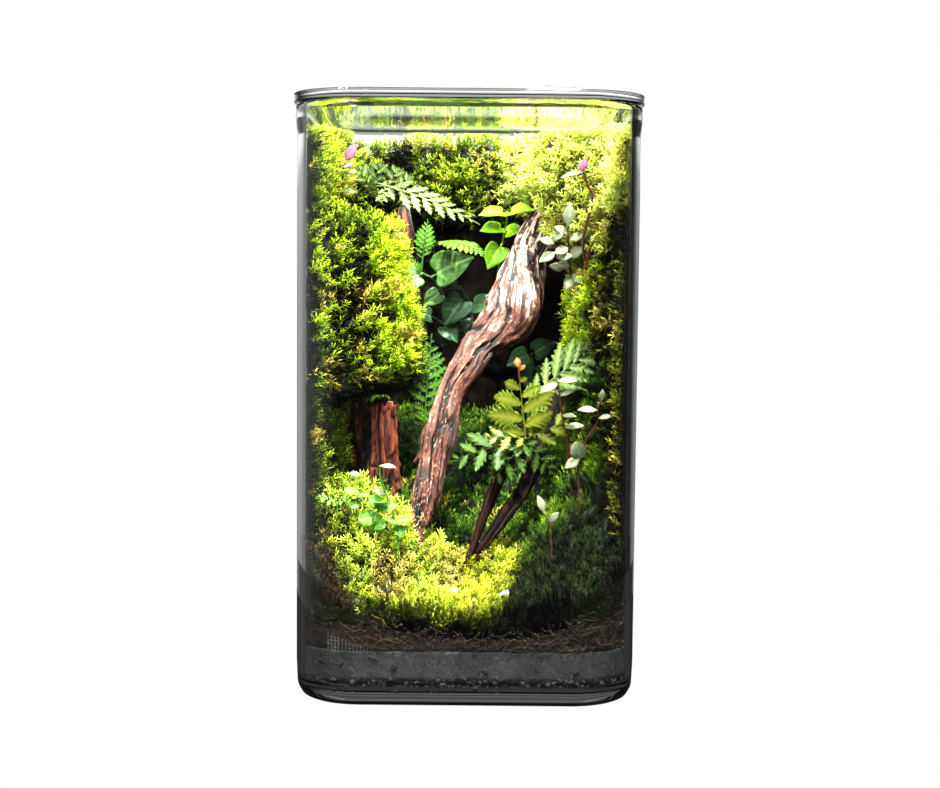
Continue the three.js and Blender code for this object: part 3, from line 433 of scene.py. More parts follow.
@dataclass(frozen=True)
class Finish:
    """A material: its name, and a surface that each kind of finish works out from its own values."""

    name: str

    def material(self) -> bpy.types.Material:
        """The Blender material, made once and then shared.

        Returns:
            The material.
        """
        found = bpy.data.materials.get(self.name)
        if found:
            return found
        made = bpy.data.materials.new(self.name)
        made.use_nodes = True
        made.node_tree.nodes.clear()
        add_node(made.node_tree, "OutputMaterial", {"Surface": self.surface(made.node_tree)})
        return made

    def surface(self, tree: Tree) -> Socket:
        """The shader output of this finish."""
        raise NotImplementedError

    def opaque(
        self, tree: Tree, colour: Socket, roughness: float, sheen: float, height: Socket | None = None,
        strength: float = 0.0, rise_mm: float = 0.0,
    ) -> Socket:
        """An opaque surface with a bump.

        Args:
            tree: the material's node tree.
            colour: its colour.
            roughness: from 0, polished, to 1, matt.
            sheen: its specular level, 0.5 for a dry polished skin.
            height: the bump's height, where it has one.
            strength: how strongly the bump shades.
            rise_mm: how far a height of 1 rises.

        Returns:
            The shader output.
        """
        inputs = {"Base Color": colour, "Roughness": roughness, "Specular IOR Level": sheen}
        if height is not None:
            inputs["Normal"] = add_node(tree, "Bump", {
                "Strength": strength, "Distance": rise_mm * MM, "Height": height,
            })
        return add_node(tree, "BsdfPrincipled", inputs)


@dataclass(frozen=True)
class GlassFinish(Finish):
    """Soda-lime glass, blown or pressed in a polished mould: clear, faintly green in its thickness.

    Light reaches what is inside straight through it, which spares the render the focused spots of real glass.
    """

    tint: str = "f3faf5"

    def surface(self, tree: Tree) -> Socket:
        """Clear refraction, with straight shadow rays.

        Args:
            tree: the material's node tree.

        Returns:
            The shader output.
        """
        glass = add_node(tree, "BsdfPrincipled", {
            "Base Color": linear(self.tint), "Roughness": 0.0, "IOR": 1.5, "Transmission Weight": 1.0,
        })
        clear = add_node(tree, "BsdfTransparent", {"Color": linear("fafdfb")})
        return add_node(tree, "MixShader", (add_node(tree, "LightPath", out="Is Shadow Ray"), glass, clear))


@dataclass(frozen=True)
class MossFinish(Finish):
    """Living moss, grown shoot by shoot, in drifts of fresher and drier growth 18 mm across. Its colour holds painted
    light and shade: painted shade at the roots and between the tufts, and a painted glow of light at the translucent
    tips."""

    root: str
    middle: str
    tip: str
    dry: str
    dry_share: float
    # colours of the painted shadow, at the middle and top of its ramp: withered brown unless a finish gives dark
    # green
    dead_and_shade_colours: tuple[str, str] = ("2a160a", "5e4020")
    gap: float = 0.06  # painted shade between the tufts: the brightness left there

    def surface(self, tree: Tree) -> Socket:
        """Root-to-tip ramps, fresh, dry, and painted shadow over withered moss, mixed in drifts and varied from shoot
        to shoot. The ramps paint shade at the roots and between the tufts and a glow of light at the tips.

        Args:
            tree: the material's node tree.

        Returns:
            The shader output.
        """
        tint, dome, tip, dryness, waste = (
            add_node(tree, "Attribute", out="Fac", attribute_name=name)
            for name in ("tint", "dome", "tip", "parched", "waste"))
        # painted shade: the colour goes dark towards the roots and in the gaps between the tufts, where shade falls,
        # and bright at the tips as a painted glow
        tuft_shade = add_node(tree, "MapRange", {"Value": dome, "To Min": self.gap}, interpolation_type="SMOOTHSTEP")
        height = add_node(tree, "Math", (tip, tuft_shade), operation="MULTIPLY")
        fresh, dried, dead_and_shade_ramp = (add_node(tree, "ValToRGB", {"Fac": height}, stops=stops) for stops in (
            ((0.05, self.root), (0.9, self.tip), (0.45, self.middle)),
            ((0.05, "140c03"), (0.9, self.dry), (0.5, "bca440")),
            ((0.05, "0a0503"), (1.0, self.dead_and_shade_colours[1]), (0.5, self.dead_and_shade_colours[0])),
        ))
        place = add_node(tree, "TexCoord", out="Object")
        drift = add_node(tree, "TexNoise", {"Vector": place, "Scale": per_metre(18.0), "Detail": 3.0})
        parched = add_node(tree, "Math", (dryness, 0.4, drift), operation="MULTIPLY_ADD")
        uneven = add_node(tree, "Math", (tint, 0.4, parched), operation="MULTIPLY_ADD")
        where = add_node(tree, "MapRange", {
            "Value": uneven, "From Min": 0.86 - 0.5 * self.dry_share, "From Max": 0.98 - 0.5 * self.dry_share,
        }, interpolation_type="SMOOTHSTEP")
        bright = add_node(tree, "MapRange", {"Value": tint, "To Min": 0.3, "To Max": 1.9})
        hue = add_node(tree, "MapRange", {"Value": tint, "To Min": 0.525, "To Max": 0.49})
        alive = add_node(tree, "Mix", {0: where, 6: fresh, 7: dried}, **OF_COLOURS)
        varied = add_node(tree, "HueSaturation", {"Hue": hue, "Value": bright, "Color": alive})
        # painted shadow below the cushion's line, over withered brown moss where its colours are brown
        colour = add_node(tree, "Mix", {0: waste, 6: varied, 7: dead_and_shade_ramp}, **OF_COLOURS)
        return self.opaque(tree, colour, 0.5, 0.06)


@dataclass(frozen=True)
class LeafFinish(Finish):
    """A living leaf blade: waxy skin over green tissue, paler veins, a margin of its own colour, mottled every
    4 mm or so."""

    blade: str
    young: str
    vein: str
    margin: str
    roughness: float

    def surface(self, tree: Tree) -> Socket:
        """Blade colour mottled by noise, veins and margin laid over it, and a fine pebbled bump.

        Args:
            tree: the material's node tree.

        Returns:
            The shader output.
        """
        tint, vein, margin = (
            add_node(tree, "Attribute", out="Fac", attribute_name=name) for name in ("tint", "vein", "margin"))
        place = add_node(tree, "TexCoord", out="Object")
        mottle = add_node(tree, "TexNoise", {"Vector": place, "Scale": per_metre(4.0), "Detail": 4.0})
        colour = add_node(tree, "ValToRGB", {"Fac": mottle}, stops=[(0.3, self.blade), (0.75, self.young)])
        for share, code in ((vein, self.vein), (margin, self.margin)):
            colour = add_node(tree, "Mix", {0: share, 6: colour, 7: linear(code)}, **OF_COLOURS)
        shaded = add_node(tree, "MapRange", {"Value": tint, "To Min": 0.75, "To Max": 1.2})
        varied = add_node(tree, "HueSaturation", {"Value": shaded, "Color": colour})
        # skin cells of about 0.3 mm, drawn coarser than life so that they catch the light
        cells = add_node(tree, "TexNoise", {"Vector": place, "Scale": per_metre(0.7), "Detail": 2.0})
        return self.opaque(tree, varied, self.roughness, 0.1, cells, 0.25, 0.2)


@dataclass(frozen=True)
class WoodFinish(Finish):
    """Weathered wood, washed and split along its grain: pale on the rubbed ridges, dark in the open grooves, and
    paler high up, partly weathering and partly painted light.
    """

    groove: str = "0e0503"
    body: str = "3c180e"
    ridge: str = "6c3c2c"
    bloom: str = "b89c8c"
    bloom_share: float = 0.4
    roughness: float = 0.5
    sheen: float = 0.2

    def surface(self, tree: Tree) -> Socket:
        """Colour by how deep the relief lies, red-brown drifts, pale bloom and torn fibre ends on the ridges,
        fine fibre bump. Grain runs on the piece's own values: round the branch finely, along it coarsely.

        Args:
            tree: the material's node tree.

        Returns:
            The shader output.
        """
        *grain_axes, relief, worn = (
            add_node(tree, "Attribute", out="Fac", attribute_name=name)
            for name in ("round_x", "round_y", "along", "relief", "worn"))
        grain = add_node(tree, "CombineXYZ", grain_axes)
        fibre = add_node(tree, "TexNoise", {"Vector": grain, "Scale": 1.0, "Detail": 6.0, "Roughness": 0.7})
        level = add_node(tree, "Math", (relief, 0.45, fibre), operation="MULTIPLY_ADD")
        centred = add_node(tree, "Math", (level, 0.25), operation="SUBTRACT")
        colour = add_node(tree, "ValToRGB", {"Fac": centred},
                          stops=[(0.32, self.groove), (0.68, self.ridge), (0.47, self.body)])
        drift = add_node(tree, "TexNoise", {
            "Vector": add_node(tree, "TexCoord", out="Object"), "Scale": per_metre(5.0), "Detail": 9.0,
            "Roughness": 0.8,
        })
        rough = add_node(tree, "Math", (drift, centred), operation="ADD")
        # painted light: more pale bloom high up, where the branch stands in the light, on top of real weathering;
        # less low down in the recess shade
        pale = add_node(tree, "Math", (worn, 0.2, rough), operation="MULTIPLY_ADD")
        where = add_node(tree, "MapRange", {
            "Value": pale, "From Min": 1.36 - 0.5 * self.bloom_share, "From Max": 1.46 - 0.5 * self.bloom_share,
        })
        bloomed = add_node(tree, "Mix", {0: where, 6: colour, 7: linear(self.bloom)}, **OF_COLOURS)
        return self.opaque(tree, bloomed, self.roughness, self.sheen, rough, 0.9, 0.6)


@dataclass(frozen=True)
class EarthFinish(Finish):
    """Damp crumbly ground: peat, soil or gravel, broken and packed, darker where it stays wet."""

    dark: str
    middle: str
    light: str
    grain_mm: float
    roughness: float = 0.85
    sheen: float = 0.15

    def surface(self, tree: Tree) -> Socket:
        """Colour from coarse and fine noise and from each crumb's own tint, with a crumbly bump.

        Args:
            tree: the material's node tree.

        Returns:
            The shader output.
        """
        tint = add_node(tree, "Attribute", out="Fac", attribute_name="tint")
        place = add_node(tree, "TexCoord", out="Object")
        coarse = add_node(tree, "TexNoise", {"Vector": place, "Scale": per_metre(11.0), "Detail": 3.0})
        fine = add_node(tree, "TexNoise", {
            "Vector": place, "Scale": per_metre(self.grain_mm), "Detail": 5.0, "Roughness": 0.7,
        })
        mixed = add_node(tree, "Math", (coarse, fine), operation="MULTIPLY")
        tinted = add_node(tree, "Math", (tint, 0.3, mixed), operation="MULTIPLY_ADD")
        colour = add_node(tree, "ValToRGB", {"Fac": tinted},
                          stops=[(0.12, self.dark), (0.62, self.light), (0.32, self.middle)])
        return self.opaque(tree, colour, self.roughness, self.sheen, fine, 0.9, 0.8)


class Look(Enum):
    """The finishes of the terrarium's pieces, by name."""

    # soda-lime glass blown in a polished mould: clear, with sharp reflections and a faint green in its depth
    JAR_GLASS = GlassFinish("moulded_soda_lime_glass")
    # the same glass pressed: a little clearer, because it is thin
    LID_GLASS = GlassFinish("pressed_lid_glass", tint="f6fbf8")
    # lava rock, crushed and washed: dark grey, matt, with reddish bits
    GRAVEL = EarthFinish("washed_lava_gravel", "1f1e20", "2e2c2f", "443a38", 6.0, 0.8)
    # polyethylene yarn, drawn and woven: even mid grey, slightly glossy
    SCREEN = EarthFinish("woven_plastic_screen", "3a3c3c", "565858", "707270", 2.0, 0.5)
    # composted bark and peat, sieved and damp: dark brown crumbs, paler where they dry
    SOIL = EarthFinish("fibrous_potting_soil", "0c0806", "18110d", "2a1f18", 2.5)
    # cut peat packed by hand and wet through: nearly black and dull, darkened past wet peat's own colour as painted
    # shade in the recess
    PEAT = EarthFinish("packed_peat", "020101", "060403", "120c08", 3.0, 0.95, 0.02)
    # shredded bark and root fibre, pressed on the glass: warm brown strands
    LITTER = EarthFinish("bark_fibres_and_crumbs", "100b08", "20160f", "32241a", 6.0)
    # hardwood washed and bleached by weather: red-brown grain with pale, rubbed ridges, paler high up partly as
    # painted light
    DRIFTWOOD = WoodFinish("weathered_driftwood")
    # root wood soaked by the moss: almost black, with dull brown ridges
    DARK_ROOT = WoodFinish("wet_dark_root", "020101", "0e0503", "26100a", "3a2014", 0.02, 0.6, 0.04)
    # the same hardwood torn across: matt pinkish fibre ends
    FLAKES = EarthFinish("torn_wood_fibre", "1e0c07", "5a3022", "946c5a", 3.0, 0.55)
    # conifer bark, dried and cracked: dull red plates with black cracks
    RED_BARK = WoodFinish("cracked_red_bark", "080201", "46180c", "7c3820", "a87c60", 0.1, 0.75)
    # quartz, crushed: white, with a faint sparkle
    GRIT = EarthFinish("white_quartz_grit", "a8a49a", "d8d6ce", "f4f3ee", 2.0, 0.45)
    # moss leaves are one cell thick; the ramps paint that as a glow of light at the tips and as shade inside the
    # cushion and between the tufts
    # cushion moss in good light, coloured brighter as painted light: yellow-green stars
    MOSS_BRIGHT = MossFinish("cushion_moss_bright", "060600", "98b00a", "f8ff3c", "ecd470", 0.2)
    # fine needle moss on the column: darker green, soft as a brush
    MOSS_COLUMN = MossFinish("needle_moss_bright", "070800", "2c3a06", "7e9212", "a08c3c", 0.22)
    # cushion moss in half shade, coloured darker as painted shade: mid green
    MOSS_GREEN = MossFinish("cushion_moss_green", "060800", "6c7c0a", "e8f438", "d0bc50", 0.16)
    # hair moss pressed on the shaded glass: upright green strands, dark green as painted shadow below a line
    MOSS_HAIR = MossFinish("hair_moss_green", "040600", "5a7a08", "c0d428", "c4b040", 0.06,
                           dead_and_shade_colours=("0e1801", "34480a"))
    # young front moss in full light, coloured brighter as painted light: the freshest green, brown as painted shadow
    # over withered moss below a line
    MOSS_FRONT = MossFinish("front_moss", "0e1002", "ccdc34", "ffff84", "fff0a0", 0.1, gap=0.4)
    # front moss drying out: straw among the green, dark green as painted shadow below a line
    MOSS_MIDDLE = MossFinish("middle_moss", "0c0e00", "b0b41c", "fffc5c", "fff098", 0.14,
                             dead_and_shade_colours=("0b1001", "242e04"), gap=0.25)
    # feather moss nearest the top light: pale lime plumes, made paler as painted light
    MOSS_LIME = MossFinish("feather_moss_lime", "4c4c10", "d8dc50", "ffffa8", "ffee90", 0.2, gap=0.4)
    # needle moss in full shade, coloured darker as painted shade: deep green
    MOSS_DEEP = MossFinish("shaded_needle_moss", "030400", "34500a", "86a41c", "7c7024", 0.12)
    # sparse moss creeping up the wall: olive, brown between its shoots
    MOSS_WALL = MossFinish("thin_wall_moss", "060500", "5c6010", "a09c30", "a07c38", 0.2)
    # thin matt frond: greyish pale green
    FERN_PALE = LeafFinish("pale_fern_frond", "263410", "465624", "707e48", "3a4a1c", 0.45)
    # older frond: plain green
    FERN_GREEN = LeafFinish("green_fern_frond", "143004", "264c06", "3e5c14", "1e4004", 0.42)
    # new frond, thin enough to glow: yellow-green
    FERN_BRIGHT = LeafFinish("young_fern_frond", "3c4a06", "5a6210", "787624", "4a560c", 0.4)
    # lower fronds of the same plant: fresh green
    FERN_FRESH = LeafFinish("fresh_fern_frond", "142a02", "263e04", "364410", "1e3002", 0.45)
    # scaly clubmoss spray: light green, paler on its rib
    CLUBMOSS = LeafFinish("clubmoss_spray", "26500a", "467214", "648430", "3e6a12", 0.45)
    # creeping fig leaf just opened: thin, shining, yellow-green
    FIG_BRIGHT = LeafFinish("young_fig_leaf", "4c7a06", "74a010", "94b438", "6c980e", 0.34)
    # grown fig leaf: leathery dark green with pale veins and a soft shine
    FIG_GREEN = LeafFinish("grown_fig_leaf", "284418", "44602c", "6c8450", "345424", 0.3)
    # fig leaf in the shade, coloured darker as painted shade: bluish green
    FIG_SHADE = LeafFinish("shaded_fig_leaf", "162a16", "263e24", "44583c", "20361e", 0.32)
    # fleshy leaf under a waxy bloom: pale grey-green with a pink edge
    CREEPER = LeafFinish("fleshy_creeper_leaf", "4c583c", "72785a", "767c60", "804440", 0.42)
    # its soft stem: dull pink
    CREEPER_STEM = LeafFinish("pink_creeper_stem", "3c1816", "5e2c28", "663c3a", "522826", 0.45)
    # its folded bud: clear pink
    CREEPER_PINK = LeafFinish("pink_creeper_bud", "5c2040", "86405c", "8c5468", "743850", 0.42)
    # seedling leaf, thin and wet: tender light green
    SEEDLING = LeafFinish("tender_seedling_leaf", "3a6c18", "5e9030", "84a85c", "548a28", 0.42)
    # unrolling fern tip in its brown scales: rusty
    RUSTY = LeafFinish("rusty_young_tip", "3c1c08", "603410", "6c4820", "4c280c", 0.5)


# ---- The jar's plan
@dataclass(frozen=True)
class Plan:
    """A square with rounded corners, as centres and outward directions of its points: a ring of half width h is
    centre + (h - 60 mm) times direction."""

    centres: Array
    outward: Array

    @classmethod
    def made(cls, corner_steps: int, side_steps: int) -> "Plan":
        """A plan with a number of steps in each corner's quarter circle and along each straight side.

        Args:
            corner_steps: steps in each quarter circle.
            side_steps: steps along each straight side.

        Returns:
            The plan.
        """
        signs = np.array([[1, 1], [-1, 1], [-1, -1], [1, -1]]) * CORNER_CENTRE
        centres, outward = [], []
        for corner in range(4):
            angle = np.radians(90 * corner + np.linspace(0, 90, corner_steps + 1))
            centres.append(np.repeat(signs[corner][None], corner_steps + 1, axis=0))
            outward.append(np.stack([np.cos(angle), np.sin(angle)], axis=-1))
            inner = np.linspace(0, 1, side_steps + 1)[1:-1, None]
            centres.append(signs[corner] + (signs[(corner + 1) % 4] - signs[corner]) * inner)
            outward.append(np.repeat(outward[-1][-1:], side_steps - 1, axis=0))
        return cls(np.vstack(centres), np.vstack(outward))

    def rings(self, half: Array, height: Array) -> Array:
        """Rings of the given half widths and heights, one number or one for each point of a ring.

        Args:
            half: half widths.
            height: heights.

        Returns:
            Points, [ring, place on it, xyz].
        """
        half, height = np.asarray(half, float), np.asarray(height, float)
        half = half[:, None] if half.ndim == 1 else half
        height = height[:, None] if height.ndim == 1 else height
        flat = self.centres[None] + (half - CORNER_CENTRE)[..., None] * self.outward[None]
        return np.concatenate([flat, np.broadcast_to(height[..., None], flat.shape[:2] + (1,))], axis=-1)


def plan_reach(half: float, degrees: Array) -> Array:
    """How far the plan's edge lies from the middle in a direction: the straight side's distance h / cos, or in
    a corner the root of the arc's circle equation.

    Args:
        half: the plan's half width.
        degrees: directions.

    Returns:
        One distance for each direction.
    """
    c, s = np.abs(np.cos(np.radians(degrees))), np.abs(np.sin(np.radians(degrees)))
    flat = half / np.maximum(c, s)
    to_centre = CORNER_CENTRE * (c + s)
    inside = np.maximum(to_centre**2 - 2 * CORNER_CENTRE**2 + (half - CORNER_CENTRE) ** 2, 0)
    return np.where(np.minimum(c, s) * flat <= CORNER_CENTRE, flat, to_centre + np.sqrt(inside))


def pressed(points: Array, half: float = FILL_HALF) -> Array:
    """The points, with those past the plan's edge moved back to it, as growth is pressed flat by glass.

    Args:
        points: places of growth.
        half: half width of the plan it is pressed into.

    Returns:
        The moved points.
    """
    made = points.copy()
    made[..., :2] = np.clip(made[..., :2], -half, half)
    past = np.abs(made[..., :2]) - CORNER_CENTRE
    radius = half - CORNER_CENTRE
    reach = np.linalg.norm(past, axis=-1)
    corner = (past > 0).all(-1) & (reach > radius)
    squeezed = (CORNER_CENTRE + past * (radius / np.maximum(reach, 1e-9))[..., None]) * np.sign(made[..., :2])
    made[..., :2] = np.where(corner[..., None], squeezed, made[..., :2])
    return made


def rounded(profile: Sequence[Sequence[float]], radius: float, steps: int = 4) -> Array:
    """An open outline with each inner corner P made a curve (1-t)^2 A + 2t(1-t) P + t^2 B, where A and B lie a
    radius away from P along its two sides, or 45% of a side that is short.

    Args:
        profile: the outline's corners.
        radius: how far a curve starts from its corner.
        steps: steps in each curve.

    Returns:
        The outline's points.
    """
    p = np.asarray(profile, float)
    before, corner, after = p[:-2], p[1:-1], p[2:]

    def towards(end: Array) -> Array:
        """The places on the sides towards one end, where the curves start or stop."""
        length = np.linalg.norm(end - corner, axis=1, keepdims=True)
        return corner + (end - corner) * np.minimum(radius / length, 0.45)

    a, b = towards(before)[:, None], towards(after)[:, None]
    t = np.linspace(0, 1, steps + 1)[None, :, None]
    curved = (1 - t) ** 2 * a + 2 * t * (1 - t) * corner[:, None] + t**2 * b
    return np.vstack([p[:1], curved.reshape(-1, 2), p[-1:]])


# ---- Glass
@dataclass
class Glassware:
    """The jar and its loose lid."""

    corner_steps: int = 28
    side_steps: int = 12
    wall_round: float = 2.2
    lid_round: float = 2.4

    def jar_profile(self) -> list[tuple[float, float]]:
        """The jar's section, from under the base, up the outside, over the rim and down the inside.

        Returns:
            Corners as [half width, height].
        """
        return [
            (CAP_HALF, 2.5), (68.0, 2.5), (78.0, 0.0), (88.0, 0.0), (94.0, 2.4), (97.2, 8.0), (97.9, 22.0),
            (99.0, JAR_HEIGHT - 17), (RIM_HALF, JAR_HEIGHT - 9), (RIM_HALF, JAR_HEIGHT - 3),
            (RIM_HALF - 1.2, JAR_HEIGHT), (INNER_HALF + 1, JAR_HEIGHT), (INNER_HALF, JAR_HEIGHT - 2),
            (INNER_HALF, BASE_THICK + 5), (INNER_HALF - 3, BASE_THICK + 1.4), (INNER_HALF - 10, BASE_THICK),
            (CAP_HALF, BASE_THICK),
        ]

    def lid_profile(self) -> list[tuple[float, float]]:
        """The lid's section, from the middle of the underside, round the rib and the edge to the top.

        Returns:
            Corners as [half width, height].
        """
        under, rib_foot = JAR_HEIGHT + 0.1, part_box("lid")[0].z / MM
        return [
            (CAP_HALF, under), (82.0, under), (82.0, rib_foot), (86.0, rib_foot), (86.0, under),
            (LID_HALF - 0.5, under), (LID_HALF, under + 0.6), (LID_HALF, LID_TOP - 0.8),
            (LID_HALF - 0.8, LID_TOP), (CAP_HALF, LID_TOP),
        ]

    def build(self) -> None:
        """Carries both profiles round the plan."""
        plan = Plan.made(self.corner_steps, self.side_steps)
        forms = (
            ("jar_shell", "jar", self.jar_profile(), self.wall_round, Look.JAR_GLASS),
            ("lid_plate", "lid", self.lid_profile(), self.lid_round, Look.LID_GLASS),
        )
        for name, node, profile, radius, look in forms:
            outline = rounded(profile, radius)
            shape = loft(plan.rings(outline[:, 0], outline[:, 1]))
            add_piece(name, shape, look, [node])


# ---- Ground: the soil's surface and the peat bank's face
# the soil from front to back: y, and its height in the middle or its rise at a side wall
SOIL_MIDDLE = ((-94, -66, -56, -35, -10, 15, 35, 60, 94), (43, 66, 72, 80, 86, 112, 134, 150, 154))
SOIL_LEFT = ((-94, -75, -58, -45, 0, 60, 94), (9, 14, 28, 42, 34, 6, 4))
SOIL_RIGHT = ((-94, -62, -40, 0, 60, 94), (14, 22, 60, 50, 8, 4))


def soil_height(x: Array, y: Array) -> Array:
    """The soil's surface: its height along the middle, plus its rise at the left and right walls.

    Args:
        x: places from left to right.
        y: places from front to back.

    Returns:
        One height for each place.
    """
    left = np.interp(y, *SOIL_LEFT) * smooth_step(-x, -5, 85)
    right = np.interp(y, *SOIL_RIGHT) * smooth_step(x, 22, 92)
    return np.interp(y, *SOIL_MIDDLE) + left + right


@dataclass(frozen=True)
class Swelling:
    """A bulge of the peat bank into the glade, deepest at a direction and between two heights."""

    at: float
    spread: float
    low: float
    high: float
    depth: float
    lean: float = 0.0

    def thickness(self, degrees: Array, z: Array) -> Array:
        """A bell across the direction, times smooth steps at the two heights, times a leaning depth.

        Args:
            degrees: directions.
            z: heights.

        Returns:
            Thickness in mm.
        """
        across = np.exp(-(((degrees - self.at) / self.spread) ** 2))
        upward = smooth_step(z, self.low - 5, self.low + 5) * (1 - smooth_step(z, self.high - 7, self.high + 7))
        return across * upward * (self.depth + self.lean * ((self.low + self.high) / 2 - z))


SWELLINGS = (
    Swelling(180, 38, 179, 278, 48, 0.2),  # left column
    Swelling(5, 30, 96, 340, 17),  # right column
    Swelling(14, 22, 266, 345, 12),  # right shoulder
    Swelling(38, 24, 290, 345, 36),  # right brow
    Swelling(104, 44, 282, 345, 9),  # back brow
)


def bank_thickness(degrees: Array, z: Array) -> Array:
    """The bank's thickness: base, swellings and a slow unevenness, thinned out towards its two ends.

    Args:
        degrees: directions.
        z: heights.

    Returns:
        Thickness in mm.
    """
    ends = smooth_step(degrees, BANK_START, BANK_START + 14) * (1 - smooth_step(degrees, BANK_END - 14, BANK_END))
    swell = sum(swelling.thickness(degrees, z) for swelling in SWELLINGS)
    uneven = 1.6 * np.sin(degrees / 7.3 + z / 21) + 1.4 * np.sin(z / 9.7 - degrees / 12)
    return np.maximum(1.5, (BANK_BASE + swell + uneven) * (0.2 + 0.8 * ends))


def polar(radius: Array, degrees: Array, z: Array) -> Array:
    """Points at a radius and direction from the jar's axis."""
    angle = np.radians(degrees)
    return np.stack(np.broadcast_arrays(radius * np.cos(angle), radius * np.sin(angle), z), axis=-1)


def bank_face(degrees: Array, z: Array, inset: Array | float = 0.0) -> Array:
    """The bank's face towards the glade, moved further into the glade by an inset."""
    return polar(plan_reach(FILL_HALF, degrees) - bank_thickness(degrees, z) - inset, degrees, z)


# ---- Loose bits: crumbs, stones and fibres
def crumb() -> Shape:
    """A lump with the twelve corners and twenty faces of an icosahedron, in units of its radius.

    Returns:
        The lump.
    """
    g = (1 + math.sqrt(5)) / 2
    corners = np.array([(0, a, b * g) for a in (-1, 1) for b in (-1, 1)])
    points = unit(np.vstack([corners, np.roll(corners, 1, axis=1), np.roll(corners, 2, axis=1)]))
    near = np.linalg.norm(points[:, None] - points[None], axis=-1) < 1.2
    i, j, k = np.nonzero(near[:, :, None] & near[:, None, :] & near[None])
    faces = np.stack([i, j, k], axis=-1)[(i < j) & (j < k)]
    a, b, c = (points[faces[:, n]] for n in range(3))
    inward = np.einsum("ij,ij->i", np.cross(b - a, c - a), a) < 0
    faces[inward] = faces[inward][:, ::-1]
    return Shape(points, [faces])


def fibre(bend: float, width: float) -> Shape:
    """A three-sided strand one unit long, bowed by a share of its length, tapered to its ends.

    Args:
        bend: how far it bows.
        width: its greatest width.

    Returns:
        The strand.
    """
    t = np.linspace(-0.5, 0.5, 5)
    path = np.stack([t, bend * (0.25 - t * t) * 4, 0.3 * bend * np.sin(5 * t)], axis=-1)
    return tube(path, 0.5 * width * (1.05 - np.abs(t) * 1.6), 3)


@dataclass
class Litter:
    """Crumbs and fibres pressed between the filling and the glass."""

    name: str
    slot: str
    look: Look
    low: float
    crumbs: int
    fibres: int
    seed: int
    size: float = 0.9
    fibre_length: tuple[float, float] = (5.0, 14.0)
    fibre_width: float = 0.45
    depth: float = 0.8

    def build(self, top: float | None = None) -> None:
        """Scatters crumbs and fibres evenly round the plan, from the low level up to the filling's top.

        Args:
            top: an even upper level, in place of the soil's own.
        """
        rng = np.random.default_rng(self.seed)
        plan = Plan.made(16, 60)
        count = self.crumbs + self.fibres
        pick = rng.integers(0, len(plan.centres), count)
        outward = np.column_stack([plan.outward[pick], np.zeros(count)])
        half = FILL_HALF - self.depth * rng.random(count)
        flat = plan.centres[pick] + (half - CORNER_CENTRE)[:, None] * plan.outward[pick]
        reach = soil_height(flat[:, 0], flat[:, 1]) if top is None else top
        origin = np.column_stack([flat, self.low + (reach - self.low) * rng.random(count)])
        tint = rng.random(count)
        along = np.cross(outward, [0.0, 0.0, 1.0])
        lean = rng.normal(0, 0.7, count)[:, None]
        x = unit(along * np.cos(lean) + np.array([0.0, 0.0, 1.0]) * np.sin(lean))
        axes = np.stack([x, np.cross(outward, x), outward], axis=1)
        c = self.crumbs
        flatness = np.column_stack([rng.uniform(0.6, 1.5, c), rng.uniform(0.5, 1.1, c), np.full(c, 0.4)])
        bits = [copies(crumb(), origin[:c], axes[:c], self.size * flatness, tint=tint[:c])]
        lengths = rng.uniform(*self.fibre_length, self.fibres)[:, None]
        for k, bend in enumerate((0.06, -0.09, 0.16)):
            mine = np.arange(k, self.fibres, 3)
            strand = fibre(bend, self.fibre_width / float(np.mean(self.fibre_length)))
            bits.append(copies(strand, origin[c:][mine], axes[c:][mine], lengths[mine], tint=tint[c:][mine]))
        shape = join(bits)
        shape.points = pressed(shape.points, FILL_HALF + 0.3)
        add_piece(self.name, shape, self.look, smooth=False)


@dataclass
class Gravel:
    """The drainage layer: loose stones round a dark core."""

    stone_mm: float = 2.6
    rows: int = 6
    seed: int = 21
    core_half: float = 93.1  # half width of the core
    ring_half: float = 91.6  # half width of the rows' rings, which draw in towards the base

    def build(self) -> None:
        """A core just inside the glass, and stones set out in rows round it and over the base."""
        rng = np.random.default_rng(self.seed)
        plan = Plan.made(14, 40)
        outline = rounded([
            (CAP_HALF, BASE_THICK + 0.6), (83, BASE_THICK + 0.6), (90, BASE_THICK + 3),
            (self.core_half, BASE_THICK + 8), (self.core_half, SOIL_FOOT + 0.4), (CAP_HALF, SOIL_FOOT + 0.4),
        ], 2.0)
        core = loft(plan.rings(outline[:, 0], outline[:, 1]))
        core.values["tint"] = np.zeros(len(core.points))
        ring = np.arange(len(plan.centres))
        pick = np.tile(ring, self.rows)
        height = np.repeat(np.linspace(BASE_THICK + 3.4, GRAVEL_TOP - 0.6, self.rows), len(ring))
        height = height + rng.normal(0, 1.0, len(pick))
        drawn_in = 2.6 * smooth_step(-height, -BASE_THICK - 6, -BASE_THICK - 1)
        half = self.ring_half - drawn_in - rng.random(len(pick))
        side = np.column_stack([plan.centres[pick] + (half - CORNER_CENTRE)[:, None] * plan.outward[pick], height])
        across = np.arange(-82.0, 83.0, 2.0 * self.stone_mm)
        x, y = (a.ravel() + rng.normal(0, 0.7, a.size) for a in np.meshgrid(across, across))
        bed = np.column_stack([x, y, np.full(x.size, BASE_THICK + 1.4 + 0.4 * self.stone_mm)])
        origin = pressed(np.vstack([side, bed]), 91.5)
        count = len(origin)
        axes = axes_about(rng.normal(size=(count, 3)), rng.uniform(0, 6.3, count))
        scale = self.stone_mm * rng.uniform(0.55, 1.1, (count, 3))
        stones = copies(crumb(), origin, axes, scale, tint=rng.random(count))
        stones.points = pressed(stones.points, FILL_HALF - 0.2)
        stones.points[:, 2] = np.clip(stones.points[:, 2], BASE_THICK + 0.3, SOIL_FOOT + 0.6)
        shape = join([core, stones])
        add_piece("gravel_stones", shape, Look.GRAVEL, ["drainage_gravel"], smooth=False)


